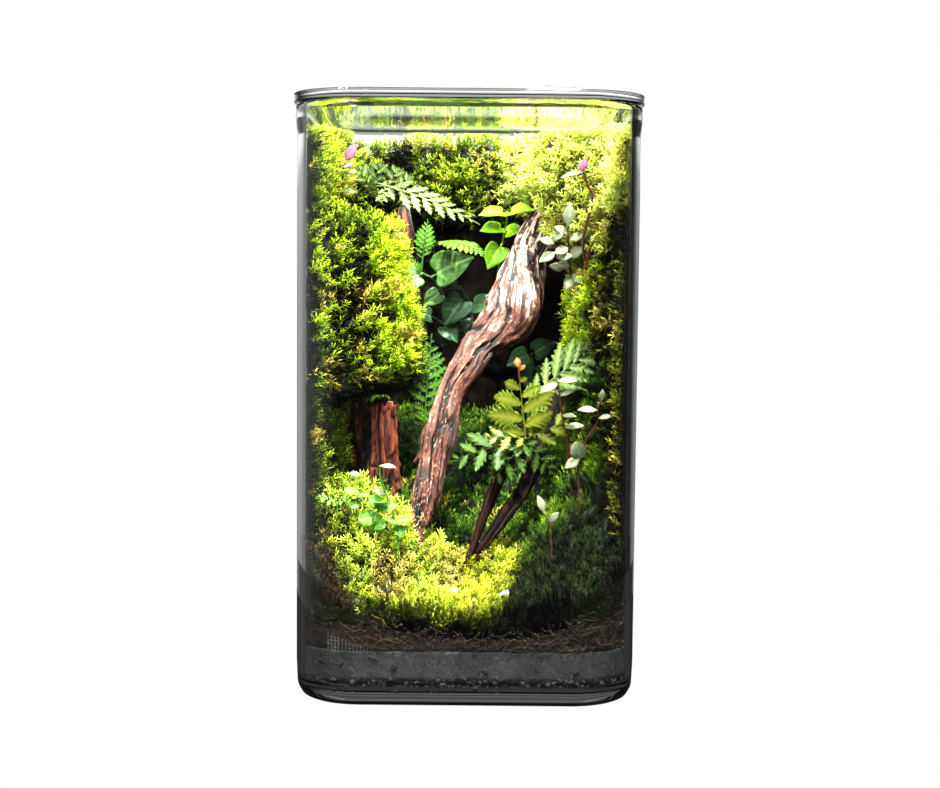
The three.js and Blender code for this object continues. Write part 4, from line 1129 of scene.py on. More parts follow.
@dataclass
class Screen:
    """The separator: a net of crossing strands, with its front left corner turned up against the glass."""

    pitch: float = 2.0
    strand: float = 0.35
    left: float = -77.0  # x of the turned-up corner's left end
    right: float = -52.0  # x of its right end
    height: float = 10.0  # how far its left end is turned up
    low: float = 1.4  # how far its right end is
    inset: float = 2.5  # how far the net stops short of the glass, behind the gravel

    def bar(self, a: Array, b: Array, wide: Array) -> Shape:
        """Square strands from points a to points b, [strand, xyz], as wide as given in two directions.

        Args:
            a: first ends.
            b: last ends.
            wide: a direction that is not along them.

        Returns:
            The strands.
        """
        ahead = unit(b - a)
        side = unit(np.cross(ahead, wide)) * self.strand / 2
        deep = unit(np.cross(ahead, side)) * self.strand / 2
        ring = np.stack([side + deep, deep - side, -side - deep, side - deep], axis=1)
        points = np.concatenate([a[:, None] + ring, b[:, None] + ring], axis=1)
        box = np.array([[0, 1, 5, 4], [1, 2, 6, 5], [2, 3, 7, 6], [3, 0, 4, 7], [3, 2, 1, 0], [4, 5, 6, 7]])
        return Shape(points.reshape(-1, 3), [repeated(box, len(a), 8)]).turned_out()

    def build(self) -> None:
        """Strands both ways across the plan, and the turned-up patch."""
        half = FILL_HALF - self.inset
        at = np.arange(-half + 1, half, self.pitch)
        straight = CORNER_CENTRE + np.sqrt((half - CORNER_CENTRE) ** 2
                                           - np.maximum(np.abs(at) - CORNER_CENTRE, 0) ** 2)
        z = np.full(len(at), GRAVEL_TOP + 0.6)
        up = np.array([[0.0, 0.0, 1.0]])
        lengthways = self.bar(np.column_stack([at, -straight, z]), np.column_stack([at, straight, z]), up)
        crossways = self.bar(np.column_stack([-straight, at, z + self.strand]),
                             np.column_stack([straight, at, z + self.strand]), up)
        x = np.arange(self.left, self.right, self.pitch)
        share = (x - self.left) / (self.right - self.left)
        y = -CORNER_CENTRE - np.sqrt((FILL_HALF - 0.4 - CORNER_CENTRE) ** 2 - np.minimum(0, x + CORNER_CENTRE) ** 2)
        foot = GRAVEL_TOP + 0.5
        rise = self.height + (self.low - self.height) * share
        posts = self.bar(np.column_stack([x, y, np.full(len(x), foot)]), np.column_stack([x, y, foot + rise]),
                         np.array([[1.0, 0.0, 0.0]]))
        rows = [posts]
        for level in np.arange(self.pitch, self.height, self.pitch):
            held = rise[:-1] >= level
            a = np.column_stack([x, y + self.strand, np.full(len(x), foot + level)])
            rows.append(self.bar(a[:-1][held], a[1:][held], up))
        shape = join([lengthways, crossways, *rows])
        add_piece("separator_net", shape, Look.SCREEN, ["separator_mesh"], smooth=False)


@dataclass
class Soil:
    """The soil body: crumbly against the glass and on top."""

    side_rows: int = 26
    top_rows: int = 34
    crumble: float = 1.1

    def build(self) -> None:
        """Rings up the side, then shrinking rings over the surface, roughened by noise."""
        plan = Plan.made(16, 56)
        edge = plan.rings(np.array([FILL_HALF]), np.array([0.0]))[0]
        reach = soil_height(edge[:, 0], edge[:, 1])
        share = np.linspace(0, 1, self.side_rows)[:, None]
        rings = plan.rings(np.full(self.side_rows, FILL_HALF), SOIL_FOOT + (reach - SOIL_FOOT) * share)
        inward = np.concatenate([plan.outward, np.zeros((len(plan.outward), 1))], axis=1)
        rings -= inward * (self.crumble * noise(rings, 2.6, 5, 3) ** 1.5 * 1.6)[..., None]
        shrink = np.linspace(1, 0.02, self.top_rows)[1:, None, None]
        top = edge[None] * shrink
        top[..., 2] = soil_height(top[..., 0], top[..., 1]) - 1.5 * noise(top, 5.0, 6, 2)
        foot = edge[None] * np.array([[[0.5]], [[0.98]]])
        foot[..., 2] = SOIL_FOOT
        shape = loft(np.concatenate([foot, rings, top]))
        shape.values["tint"] = noise(shape.points, 2.2, 7)
        add_piece("soil_body", shape, Look.SOIL, ["soil"])


@dataclass
class PeatBank:
    """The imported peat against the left, back and right walls."""

    rows: int = 95
    columns: int = 190
    foot: float = 60.0

    def build(self) -> None:
        """A curtain between its face, torn and pitted by noise, and the glass."""
        z, degrees = np.meshgrid(
            np.linspace(self.foot, BANK_TOP, self.rows), np.linspace(BANK_START, BANK_END, self.columns),
            indexing="ij",
        )
        face = bank_face(degrees, z)
        pits = 3.2 * (noise(face, 7.0, 11, 3) - 0.5) + 1.6 * ridges(noise(face, (3, 3, 9), 12, 2), 6)
        face = bank_face(degrees, z, pits)
        back = polar(plan_reach(FILL_HALF - 0.3, degrees), degrees, z)
        reach = plan_reach(FILL_HALF - 0.3, degrees) - 0.9 * noise(back, 2.4, 13, 3)
        back = polar(reach, degrees, z)
        shape = skin(face, back, tint=noise(face, 3.0, 14, 2))
        add_piece("peat_wall", shape, Look.PEAT, ["peat_bank"])


# ---- Moss
DRY_PLACES = ((-42.0, -82.0, 13.0), (-13.0, -64.0, 11.0), (6.0, -54.0, 8.0), (-88.0, -8.0, 9.0))  # x, y, reach


@dataclass(frozen=True)
class Shoot:
    """The build of one kind of moss shoot: a stem with leaves set round it by the golden angle.

    Leaves rise more steeply or less from the lowest to the top one, so that they make a star, a brush or a
    feather.
    """

    leaves: int
    height: float  # mm
    leaf: float  # mm
    width: float  # mm
    low_rise: float  # degrees
    top_rise: float  # degrees
    spacing: float  # mm
    upward: float  # how strongly shoots on a wall turn up to the light

    def template(self, seed: int) -> Shape:
        """Leaves as closed slim wedges: two corners and a keel at the foot, one tip.

        Args:
            seed: picks the chance in its leaves.

        Returns:
            The shoot, standing on zero.
        """
        rng = np.random.default_rng(seed)
        share = np.linspace(0, 1, self.leaves)
        azimuth = GOLDEN_ANGLE * np.arange(self.leaves) + rng.normal(0, 0.3, self.leaves)
        rise = np.radians(self.low_rise + (self.top_rise - self.low_rise) * share + rng.normal(0, 9, self.leaves))
        out = np.stack([np.cos(azimuth), np.sin(azimuth), np.zeros(self.leaves)], axis=-1)
        across = np.stack([-np.sin(azimuth), np.cos(azimuth), np.zeros(self.leaves)], axis=-1)
        up = np.array([0.0, 0.0, 1.0])
        ahead = out * np.cos(rise)[:, None] + up * np.sin(rise)[:, None]
        foot = up * (self.height * (0.15 + 0.8 * share))[:, None]
        length = (self.leaf * (1.15 - 0.45 * share) * rng.uniform(0.75, 1.25, self.leaves))[:, None]
        wide = across * self.width / 2
        keel = np.cross(ahead, across) * self.width * 0.35
        corners = np.stack([foot - wide, foot + wide, foot + keel, foot + ahead * length], axis=1)
        stem = np.array([[-0.25, -0.1, -2.5], [0.25, -0.1, -2.5], [0, 0.25, -2.5], [0, 0, self.height]])
        points = np.vstack([corners.reshape(-1, 3), stem])
        wedge = np.array([[0, 1, 3], [1, 2, 3], [2, 0, 3], [0, 2, 1]])
        # painted shade and glow: leaf feet and lower leaves take the ramps' dark end, the upper tips their bright end
        tip = np.tile([0.2, 0.2, 0.2, 1.0], self.leaves) * np.repeat(0.35 + 0.65 * share, 4)
        made = Shape(points, [repeated(wedge, self.leaves + 1, 4)])
        made.values["tip"] = np.concatenate([tip, [0.0, 0.0, 0.0, 0.7]])
        return made.turned_out()


class MossKind(Enum):
    """How the moss of a cushion grows."""

    STAR = Shoot(14, 9.0, 4.2, 0.72, 5, 60, 2.8, 0.5)
    NEEDLE = Shoot(11, 8.0, 5.0, 0.6, 15, 68, 3.15, 0.5)
    FEATHER = Shoot(16, 10.5, 4.4, 1.1, -5, 45, 3.3, 0.4)
    HAIR = Shoot(12, 8.5, 5.6, 0.4, 48, 82, 2.2, 0.8)
    VELVET = Shoot(9, 5.5, 3.4, 0.65, 10, 65, 3.2, 0.4)
    FRINGE = Shoot(11, 9.0, 3.8, 0.55, 15, 60, 3.0, -0.7)
    STRAW = Shoot(13, 7.0, 3.8, 0.5, -15, 50, 2.3, 0.3)


@dataclass(frozen=True)
class Tufts:
    """Domed tufts that the shoots of a cushion stand in, round centres a given reach wide."""

    centres: Array
    reach: float

    def at(self, ground: Array) -> tuple[Array, Array]:
        """For each place: 1 - (d / reach)^2 with d the distance to the nearest centre, and that centre's
        number.

        Args:
            ground: places.

        Returns:
            The dome, and the tuft's number.
        """
        flat = ground.reshape(-1, 3)
        gap = np.linalg.norm(flat[:, None] - self.centres[None], axis=-1)
        dome = 1 - np.clip(gap.min(1) / self.reach, 0, 1) ** 2
        return dome.reshape(ground.shape[:-1]), gap.argmin(1).reshape(ground.shape[:-1])


@dataclass
class MossCushion:
    """A moss cushion: a root mat in domed tufts that carries shoots, fullest in its middle."""

    name: str
    slot: str
    look: Look
    kind: MossKind
    seed: int
    depth: float = 9.0
    sunk: float = 5.5  # how far the shoots' feet lie under the cushion's mean face
    tuft: float = 12.0  # distance between the tufts' middles
    tuft_rise: float = 6.0
    spill: float = 7.0  # how far shoots stray past the patch's border
    hollow: float = 0.36  # noise level under which the cushion sinks into a hollow, which painted shade darkens
    replaces_node: bool = True
    mat_step: float = 2.3  # between the root mat's grid lines
    mat_foot: float = 3.0  # how far the mat reaches into the ground
    variants: int = 4  # different shoots of its kind
    domes: Tufts | None = field(init=False, default=None)

    def ground(self, s: Array, t: Array) -> Array:
        """The surface that the cushion grows on, for shares across and up its patch."""
        raise NotImplementedError

    def out_hint(self, points: Array) -> Array:
        """Roughly which way is out of the ground."""
        raise NotImplementedError

    def top_spill(self) -> float:
        """How far up past the patch shoots may stray, in mm."""
        return self.spill

    def normals(self, surface: Callable[[Array, Array], Array], s: Array, t: Array) -> Array:
        """Outward normals of a surface, by central differences along its two shares.

        Args:
            surface: the surface as a function of two shares.
            s: share across the patch.
            t: share up it.

        Returns:
            One normal for each place.
        """
        e = 0.008
        along = surface(s + e, t) - surface(s - e, t)
        up = surface(s, t + e) - surface(s, t - e)
        normal = unit(np.cross(along, up))
        flip = np.einsum("...i,...i->...", normal, self.out_hint(surface(s, t))) < 0
        return np.where(flip[..., None], -normal, normal)

    def fullness(self, s: Array, t: Array) -> Array:
        """From 0.2 at the patch's border to 1 in its middle.

        Args:
            s: share across the patch.
            t: share up it.

        Returns:
            One number for each place.
        """
        edge_s = np.clip(np.minimum(s, 1 - s), 0, 0.18) / 0.18
        edge_t = np.clip(np.minimum(t, 1 - t), 0, 0.18) / 0.18
        return 0.2 + 0.8 * np.sqrt(edge_s * edge_t)

    def spans(self) -> tuple[float, float]:
        """The patch's width and height in mm, along its middle lines.

        Returns:
            Width and height.
        """
        line = np.linspace(0, 1, 40)
        half = np.full(40, 0.5)
        across, upward = self.ground(line, half), self.ground(half, line)
        return tuple(float(np.linalg.norm(np.diff(p, axis=0), axis=1).sum()) for p in (across, upward))

    def tufts(self, rng: np.random.Generator) -> Tufts:
        """Tuft centres in a jittered grid over the patch and a little past it.

        Args:
            rng: the cushion's source of chance.

        Returns:
            The tufts.
        """
        wide, high = self.spans()
        n_s, n_t = max(2, round(wide / self.tuft)), max(2, round(high / self.tuft))
        t, s = np.meshgrid(np.arange(-1, n_t + 1), np.arange(-1, n_s + 1), indexing="ij")
        s = (s.ravel() + rng.random(s.size)) / n_s
        t = (t.ravel() + rng.random(t.size)) / n_t
        return Tufts(self.ground(s, t), 0.75 * self.tuft)

    def hollows(self, ground: Array) -> Array:
        """How deep in a hollow the moss lies, from 0 to 1: where noise of 11 mm is low."""
        return smooth_step(noise(ground, 11.0, self.seed + 6, 2), self.hollow + 0.07, self.hollow - 0.07)

    def mat(self, s: Array, t: Array) -> Array:
        """The root mat's face: mean thickness by fullness, the tufts' domes, and small unevenness.

        Args:
            s: share across the patch.
            t: share up it.

        Returns:
            Points of the face.
        """
        ground = self.ground(s, t)
        full = self.fullness(s, t)
        dome, _ = self.domes.at(ground)
        uneven = self.tuft_rise * (dome - 0.55) + 1.6 * (noise(ground, 3.2, self.seed + 1) - 0.5)
        stand = 1.0 + (self.depth - 1.0) * full + uneven * (0.4 + 0.6 * full) - self.sunk
        stand = stand - 3.5 * self.hollows(ground) * full
        return ground + self.normals(self.ground, s, t) * stand[..., None]

    def waste(self, points: Array) -> Array:
        """How far the moss is in painted shadow, over withered brown moss where its colours are brown, from 0 to 1.
        """
        return np.zeros(points.shape[:-1])

    def parched(self, points: Array) -> Array:
        """How dry and straw-coloured it is, from 0 to 1: bells exp(-(d / r)^2) round a few dry places."""
        gap = np.linalg.norm(points[:, None, :2] - np.array(DRY_PLACES)[None, :, :2], axis=-1)
        return np.exp(-((gap / np.array(DRY_PLACES)[:, 2]) ** 2)).max(1)

    def root_mat(self, wide: float, high: float) -> Shape:
        """The mat from its face down into the ground.

        Args:
            wide: the patch's width in mm.
            high: its height in mm.

        Returns:
            The mat.
        """
        rows, columns = int(high / self.mat_step) + 2, int(wide / self.mat_step) + 2
        t, s = np.meshgrid(np.linspace(0, 1, rows), np.linspace(0, 1, columns), indexing="ij")
        face = pressed(self.mat(s, t))
        under = pressed(self.ground(s, t) - self.normals(self.ground, s, t) * self.mat_foot)
        # the mat takes the ramps' dark root end: painted shade under the shoots
        return skin(face, under, tip=np.full(s.shape, 0.08), tint=noise(face, 3.0, self.seed + 2))

    def feet(self, rng: np.random.Generator, wide: float, high: float) -> tuple[Array, Array]:
        """Where shoots stand: a jittered grid over the patch and a border past it that noise makes ragged.

        Args:
            rng: the cushion's source of chance.
            wide: the patch's width in mm.
            high: its height in mm.

        Returns:
            Shares across and up the patch.
        """
        spacing = self.kind.value.spacing
        low_t, high_t = -self.spill / high, 1 + self.top_spill() / high
        low_s, high_s = -self.spill / wide, 1 + self.spill / wide
        n_up, n_across = int(high * (high_t - low_t) / spacing), int(wide * (high_s - low_s) / spacing)
        cell_t, cell_s = (a.ravel() for a in np.meshgrid(np.arange(n_up), np.arange(n_across), indexing="ij"))
        s = low_s + (high_s - low_s) * (cell_s + rng.random(cell_s.size)) / n_across
        t = low_t + (high_t - low_t) * (cell_t + rng.random(cell_t.size)) / n_up
        ground = self.ground(s, t)
        stray = np.maximum(np.maximum(-s, s - 1) * wide, np.maximum(-t, t - 1) * high)
        kept = noise(ground, 9.0, self.seed + 5) * 0.6 + 0.4 * rng.random(len(ground)) > stray / self.spill
        kept &= np.linalg.norm(ground - pressed(ground), axis=1) < 1.5
        return s[kept], t[kept]

    def shoots(self, rng: np.random.Generator, s: Array, t: Array) -> list[Shape]:
        """Shoots of a few variants by turns, each square to its tuft's dome and turned up a little.

        Args:
            rng: the cushion's source of chance.
            s: share across the patch of each shoot.
            t: share up it.

        Returns:
            One shape for each variant.
        """
        shoot, ground, count = self.kind.value, self.ground(s, t), len(s)
        origin, out = self.mat(s, t), self.normals(self.mat, s, t)
        dome, number = self.domes.at(ground)
        # painted shade: a low dome value darkens the shoots between the tufts and in the hollows
        dome = dome * (1 - 0.95 * self.hollows(ground))
        up = unit(out + np.array([0, 0, shoot.upward]) + rng.normal(0, 0.25, (count, 3)))
        axes = axes_about(up, rng.uniform(0, 2 * np.pi, count))
        size = (rng.uniform(0.65, 1.2, count) * (0.75 + 0.5 * noise(origin, 12.0, self.seed + 3)))[:, None]
        own = rng.random(len(self.domes.centres))[number]
        tint = 0.45 * own + 0.25 * noise(origin, 6.0, self.seed + 4) + 0.3 * rng.random(count)
        values = {"tint": tint, "dome": dome, "waste": self.waste(origin), "parched": self.parched(origin)}
        made = []
        for variant in range(self.variants):
            mine = slice(variant, None, self.variants)
            template = shoot.template(self.seed * 10 + variant)
            own_values = {key: value[mine] for key, value in values.items()}
            made.append(copies(template, origin[mine], axes[mine], size[mine], **own_values))
        return made

    def build(self) -> None:
        """Makes the mat and sets shoots on it, all pressed flat where they meet the glass or the lid."""
        rng = np.random.default_rng(self.seed)
        self.domes = self.tufts(rng)
        wide, high = self.spans()
        shape = join([self.root_mat(wide, high), *self.shoots(rng, *self.feet(rng, wide, high))])
        shape.points = pressed(shape.points, FILL_HALF + 0.25)
        shape.points[:, 2] = np.minimum(shape.points[:, 2], self.ceiling())
        nodes = [self.name] if self.replaces_node else []
        add_piece(f"{self.name}_growth", shape, self.look, nodes)

    def ceiling(self) -> float:
        """The greatest height that growth reaches, just under the lid's rib."""
        return float(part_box("lid")[0].z) / MM - 0.4


@dataclass
class FloorCushion(MossCushion):
    """Moss on the soil, over a patch in x and y."""

    x: tuple[float, float] = (0.0, 1.0)
    y: tuple[float, float] = (0.0, 1.0)
    dead_and_shade_line: tuple[tuple[float, ...], tuple[float, ...]] = ((-200.0, 200.0), (0.0, 0.0))

    def ground(self, s: Array, t: Array) -> Array:
        """The soil's surface over the patch, its grid waved a little so that no border is straight.

        Args:
            s: share across the patch.
            t: share up it.

        Returns:
            Points.
        """
        px = self.x[0] + (self.x[1] - self.x[0]) * s
        py = self.y[0] + (self.y[1] - self.y[0]) * t
        wx, wy = px + 3 * np.sin(py / 15), py + 3 * np.sin(px / 13)
        return np.stack([wx, wy, soil_height(wx, wy)], axis=-1)

    def out_hint(self, points: Array) -> Array:
        """Up."""
        return np.broadcast_to(np.array([0.0, 0.0, 1.0]), points.shape)

    def waste(self, points: Array) -> Array:
        """Painted shadow below a line of heights against x, on the low moss pressed on the glass; where the colours
        are brown it also stands for withered moss.
        """
        line = np.interp(points[..., 0], *self.dead_and_shade_line)
        return smooth_step(line - points[..., 2] + 12 * (noise(points, 8.0, 61) - 0.5), -12, 12)


@dataclass
class BankCushion(MossCushion):
    """Moss on the peat bank, from one direction to another and between two heights. A capped cushion runs on
    over the bank's top to the glass."""

    start: float = 0.0
    end: float = 1.0
    low: tuple[float, float] = (0.0, 0.0)
    high: float = 322.0
    capped: bool = False
    cap_from: float = 0.62  # share of a capped patch where its face ends and its top begins

    def ground(self, s: Array, t: Array) -> Array:
        """The bank's face, waved in height, then for a cap the bank's top back to the glass.

        Args:
            s: share across the patch.
            t: share up it.

        Returns:
            Points.
        """
        degrees = self.start + (self.end - self.start) * s
        foot = self.low[0] + (self.low[1] - self.low[0]) * s
        face_share = np.minimum(t / self.cap_from, 1.0) if self.capped else t
        z = foot + (self.high - foot) * face_share
        waved = z if self.capped else z + 3 * np.sin(degrees / 8)
        over = np.clip((t - self.cap_from) / (1 - self.cap_from), 0, 1.1) if self.capped else np.zeros_like(t)
        back = bank_thickness(degrees, np.minimum(waved, BANK_TOP)) * over
        lifted = waved + (BANK_TOP - self.high) * np.minimum(over * 4, 1.0)
        return bank_face(degrees, lifted, -back)

    def out_hint(self, points: Array) -> Array:
        """Towards the jar's axis and up."""
        return np.concatenate([-points[..., :2] / 90.0, np.full(points.shape[:-1] + (1,), 0.8)], axis=-1)

    def top_spill(self) -> float:
        """A capped cushion ends at the glass."""
        return 0.0 if self.capped else self.spill

    def fullness(self, s: Array, t: Array) -> Array:
        """As on the floor, but a capped cushion stays full up to the glass."""
        return super().fullness(s, np.minimum(t, 0.5) if self.capped else t)


# ---- Wood
@dataclass(frozen=True)
class Timber:
    """A weathered branch: a fluted form through [x, y, z, width] stations, split and rubbed along its grain."""

    stations: Sequence[Sequence[float]]
    seed: int
    sides: int = 110
    step: float = 1.2
    flatness: float = 0.72
    flute: float = 0.13
    groove: float = 1.5
    twist: float = 0.012

    def shape(self) -> Shape:
        """Radius = half width times (1 + flute sin 3a), less cracks and fibres of noise stretched along it.

        Returns:
            The branch.
        """
        rough = np.asarray(self.stations, float)
        length = np.linalg.norm(np.diff(rough[:, :3], axis=0), axis=1).sum()
        path = curve_through(rough, int(length / self.step))
        width = np.maximum(path[:, 3], 0.8)
        ahead = unit(np.gradient(path[:, :3], axis=0))
        side = unit(np.cross(ahead, [0.0, 1.0, 0.0]))
        depth = np.cross(ahead, side)
        a = np.linspace(0, 2 * np.pi, self.sides, endpoint=False)[None]
        run = np.concatenate([[0.0], np.cumsum(np.linalg.norm(np.diff(path[:, :3], axis=0), axis=1))])[:, None]
        station = np.linspace(0, len(rough) - 1, len(path))[:, None]
        turned = a + self.twist * run
        half = width[:, None] / 2
        grain = np.stack(np.broadcast_arrays(half * np.cos(turned), half * np.sin(turned), run), axis=-1)
        flutes = 1 + self.flute * np.sin(3 * a + self.seed + 0.35 * station)
        crack = ridges(noise(grain, (6.0, 6.0, 110), self.seed, 3), 18)
        fibres = noise(grain, (1.6, 1.6, 40), self.seed + 1, 2)
        flakes = noise(grain, (4.0, 4.0, 10), self.seed + 2, 4)
        deep = np.minimum(self.groove, 0.16 * half)
        relief = 0.6 + 0.6 * (fibres - 0.5) + 0.8 * (flakes - 0.5) - 1.1 * crack
        radius = half * flutes + deep * 1.6 * (relief - 0.5)
        spoke = side[:, None] * np.cos(a)[..., None] + depth[:, None] * (self.flatness * np.sin(a))[..., None]
        rings = path[:, None, :3] + spoke * radius[..., None]
        # the rise of pale bloom with height: partly weathering, partly painted light, the low part standing in the
        # recess shade
        return loft(rings, relief=relief, worn=smooth_step(rings[..., 2], 190.0, 262.0),
                    round_x=grain[..., 0] * 0.55, round_y=grain[..., 1] * 0.55, along=grain[..., 2] * 0.03)


DRIFTWOOD = (
    (58, 56, 313, 9), (52, 46, 299, 10), (45.5, 40, 285, 12), (39, 33, 269, 17), (36, 26, 254, 24),
    (32.8, 18, 239, 29), (30, 12, 228, 34), (26, 8, 219, 33), (18, 3, 211, 26), (7, -3, 200.5, 20),
    (0.5, -9, 190.5, 18), (-7, -14, 180, 15), (-11.5, -20, 169, 14.4), (-14, -26, 157.5, 17),
    (-17.3, -31, 147.5, 18.6), (-20, -36, 135.5, 15.6), (-22.3, -42, 124, 16), (-24.2, -46, 115, 15),
    (-26.6, -51, 103, 12), (-27.9, -54, 95, 8.6), (-27.5, -58, 84, 4), (-27, -59, 77, 2.2),
)
DRIFTWOOD_PRONG = ((40, 22, 256, 9), (48, 31, 270, 9), (54, 38, 283, 8.6), (61, 47, 298, 8))
DRIFTWOOD_SPLINTER = ((-16, -32, 152, 7), (-22, -35, 145, 6), (-31, -38, 134, 1.6))
ROOT_LONG = (
    (58.5, -16, 184, 5), (57, -18, 179, 7), (51, -26, 160, 8.6), (43.8, -34, 139.5, 9.4),
    (33.3, -42, 118, 9.6), (23.3, -49, 104.6, 8.4), (13.3, -55.5, 92, 6.4), (5, -60, 82, 4.4), (1, -62, 75, 2.6),
)
ROOT_SHORT = (
    (41, -35, 140, 6), (30, -37, 139, 7), (22.9, -40, 134, 7.4), (17.4, -44, 122.6, 7.2),
    (12.4, -50, 109.3, 6.4), (7.6, -56, 96.7, 5), (4.4, -60.5, 87, 4), (-1, -66, 75, 2.6), (-3, -68, 69, 1.8),
)
BARK_CHIP = ((-40, 60, 252, 6), (-40, 55, 260, 9), (-40, 53, 270, 10), (-41, 53, 280, 9), (-42, 56, 289, 6))


@dataclass(frozen=True)
class BarkStump:
    """A broken stump of red bark: upright plates, cracked across, round a sunken middle."""

    x: float = -55.0
    y: float = -16.0
    foot: float = 100.0
    top: float = 163.0
    width: float = 30.0
    depth: float = 20.0
    sides: int = 170
    rows: int = 80

    def shape(self) -> Shape:
        """An oval column, its plates parted by noise cracks, its upper edge ragged, with a bowl inside.

        Returns:
            The stump.
        """
        a = np.linspace(0, 2 * np.pi, self.sides, endpoint=False)[None]
        share = np.linspace(0, 1, self.rows)[:, None]
        z = self.foot + (self.top - self.foot) * share + 0 * a
        place = np.stack([self.width / 2 * np.cos(a) + 0 * z, self.depth / 2 * np.sin(a) + 0 * z, z], axis=-1)
        plates = ridges(noise(place, (7.0, 7.0, 34), 41, 3), 9)
        checks = ridges(noise(place, (8.0, 8.0, 9.0), 42, 3), 10)
        fibres = noise(place, (1.6, 1.6, 9.0), 43, 4)
        relief = 0.6 + 1.3 * (fibres - 0.5) - 0.7 * plates - 0.3 * checks
        ragged = 9 * noise(place * np.array([1, 1, 0]), 6.0, 44, 2) + 3 * noise(place * np.array([1, 1, 0]), 1.6, 45)
        z = z + ragged * smooth_step(share, 0.6, 1.0)
        swell = (1 - 0.1 * share) * (1 + 0.4 * (noise(place, (9, 9, 30), 46, 2) - 0.5)) + 0.22 * (relief - 0.5)
        outer = np.stack([self.x + self.width / 2 * swell * np.cos(a), self.y + self.depth / 2 * swell * np.sin(a),
                          z], axis=-1)
        middle = np.array([self.x, self.y, 0.0])
        bowl_share = np.linspace(0.93, 0.05, 14)[:, None, None]
        bowl = middle + (outer[-1] - middle) * np.array([1, 1, 0]) * bowl_share
        sunk = self.top - 5 + 5 * noise(bowl * np.array([1, 1, 0]), 3.0, 47, 2)
        lip = np.linspace(1, 0, 14)[:, None] ** 6
        bowl[..., 2] = sunk * (1 - lip) + (outer[-1, :, 2] - 1) * lip
        rings = np.concatenate([outer, bowl])
        colour = np.concatenate([relief, np.full(bowl.shape[:2], 0.35)])
        around = rings - middle
        return loft(rings, relief=colour, round_x=around[..., 0] * 1.2, round_y=around[..., 1] * 1.2,
                    along=around[..., 2] * 0.1)


@dataclass(frozen=True)
class TornFlakes:
    """Slivers of torn fibre that stand off the driftwood, thickest low down where it is rotting."""

    count: int = 1500
    seed: int = 9
    long: tuple[float, float] = (1.2, 4.2)

    def shape(self, timber: Timber) -> Shape:
        """Flat slivers on the branch's grid, laid along its grain and lifted a little.

        Args:
            timber: the branch that carries them.

        Returns:
            All slivers.
        """
        rng = np.random.default_rng(self.seed)
        rings = timber.shape().points[:-2].reshape(-1, timber.sides, 3)
        rows = len(rings)
        row = (rows * (0.12 + 0.86 * rng.random(self.count) ** 0.6)).astype(int).clip(1, rows - 2)
        column = rng.integers(0, timber.sides, self.count)
        place = rings[row, column]
        grain = unit(rings[row + 1, column] - rings[row - 1, column] + rng.normal(0, 0.25, place.shape))
        out = unit(place - rings[row].mean(1))
        x = unit(grain + out * rng.uniform(-0.1, 0.45, self.count)[:, None])
        y = unit(np.cross(out, x))
        axes = np.stack([x, y, np.cross(x, y)], axis=1)
        length = rng.uniform(*self.long, self.count) / 2
        scale = np.column_stack([length, rng.uniform(0.2, 0.6, self.count), rng.uniform(0.08, 0.16, self.count)])
        tint = rng.random(self.count)
        return copies(crumb(), place + out * 0.15, axes, scale, tint=tint)


@dataclass
class Woodwork:
    """Driftwood, forked root, stump and chip."""

    branch: Timber = Timber(DRIFTWOOD, 2, sides=130)
    prong: Timber = Timber(DRIFTWOOD_PRONG, 5, sides=60, flatness=0.9, flute=0.1)
    splinter: Timber = Timber(DRIFTWOOD_SPLINTER, 8, sides=40, step=0.8, flute=0.2)
    long_root: Timber = Timber(ROOT_LONG, 4, sides=64, flatness=0.8, groove=1.3)
    short_root: Timber = Timber(ROOT_SHORT, 7, sides=56, flatness=0.8, groove=1.2)
    chip: Timber = Timber(BARK_CHIP, 3, sides=60, step=0.8, flatness=0.6)
    stump: BarkStump = BarkStump()
    flakes: TornFlakes = TornFlakes()

    def build(self) -> None:
        """Makes the four wooden things, and the flakes on the driftwood."""
        driftwood = join([self.branch.shape(), self.prong.shape(), self.splinter.shape()])
        root = join([self.long_root.shape(), self.short_root.shape()])
        flakes = self.flakes.shape(self.branch)
        add_piece("driftwood_branch", driftwood, Look.DRIFTWOOD, ["driftwood"])
        add_piece("driftwood_flakes", flakes, Look.FLAKES, smooth=False)
        add_piece("dark_forked_root", root, Look.DARK_ROOT, ["forked_root"])
        add_piece("red_bark_stump", self.stump.shape(), Look.RED_BARK, ["bark_stump"])
        add_piece("red_bark_chip", self.chip.shape(), Look.RED_BARK, ["bark_chip"])


# ---- Leaves
OPEN = (0.0, -0.6, 1.0)  # the facing of a leaf spread to the light


@dataclass(frozen=True)
class BladePlane:
    """The bent plane of a leaf: it leaves its root in a heading, faces one way and curls down along an arc."""

    root: Array
    heading: Vec
    facing: Vec
    length: float
    curl: float = 0.4
    fold: float = 0.0

    def place(self, u: Array, v: Array, off: Array | float = 0.0) -> Array:
        """Points at u along and v across, in shares of the length, and off in mm out of the face: the arc
        (sin cu / c, 1 - cos cu) carries the rib, and each half rises by the fold.

        Args:
            u: share along the leaf.
            v: share across it.
            off: height over the plane in mm.

        Returns:
            Points.
        """
        ahead = unit(np.array(self.heading, float))
        side = unit(np.cross(ahead, np.array(self.facing, float)))
        up = np.cross(side, ahead)
        turn = self.curl * u
        normal = up * np.cos(turn)[..., None] + ahead * np.sin(turn)[..., None]
        rib = ahead * (self.length * np.sin(turn) / self.curl)[..., None]
        rib = rib - up * (self.length * (1 - np.cos(turn)) / self.curl)[..., None]
        rise = self.length * np.abs(v) * self.fold + off
        return self.root + rib + side * (self.length * v)[..., None] + normal * rise[..., None]


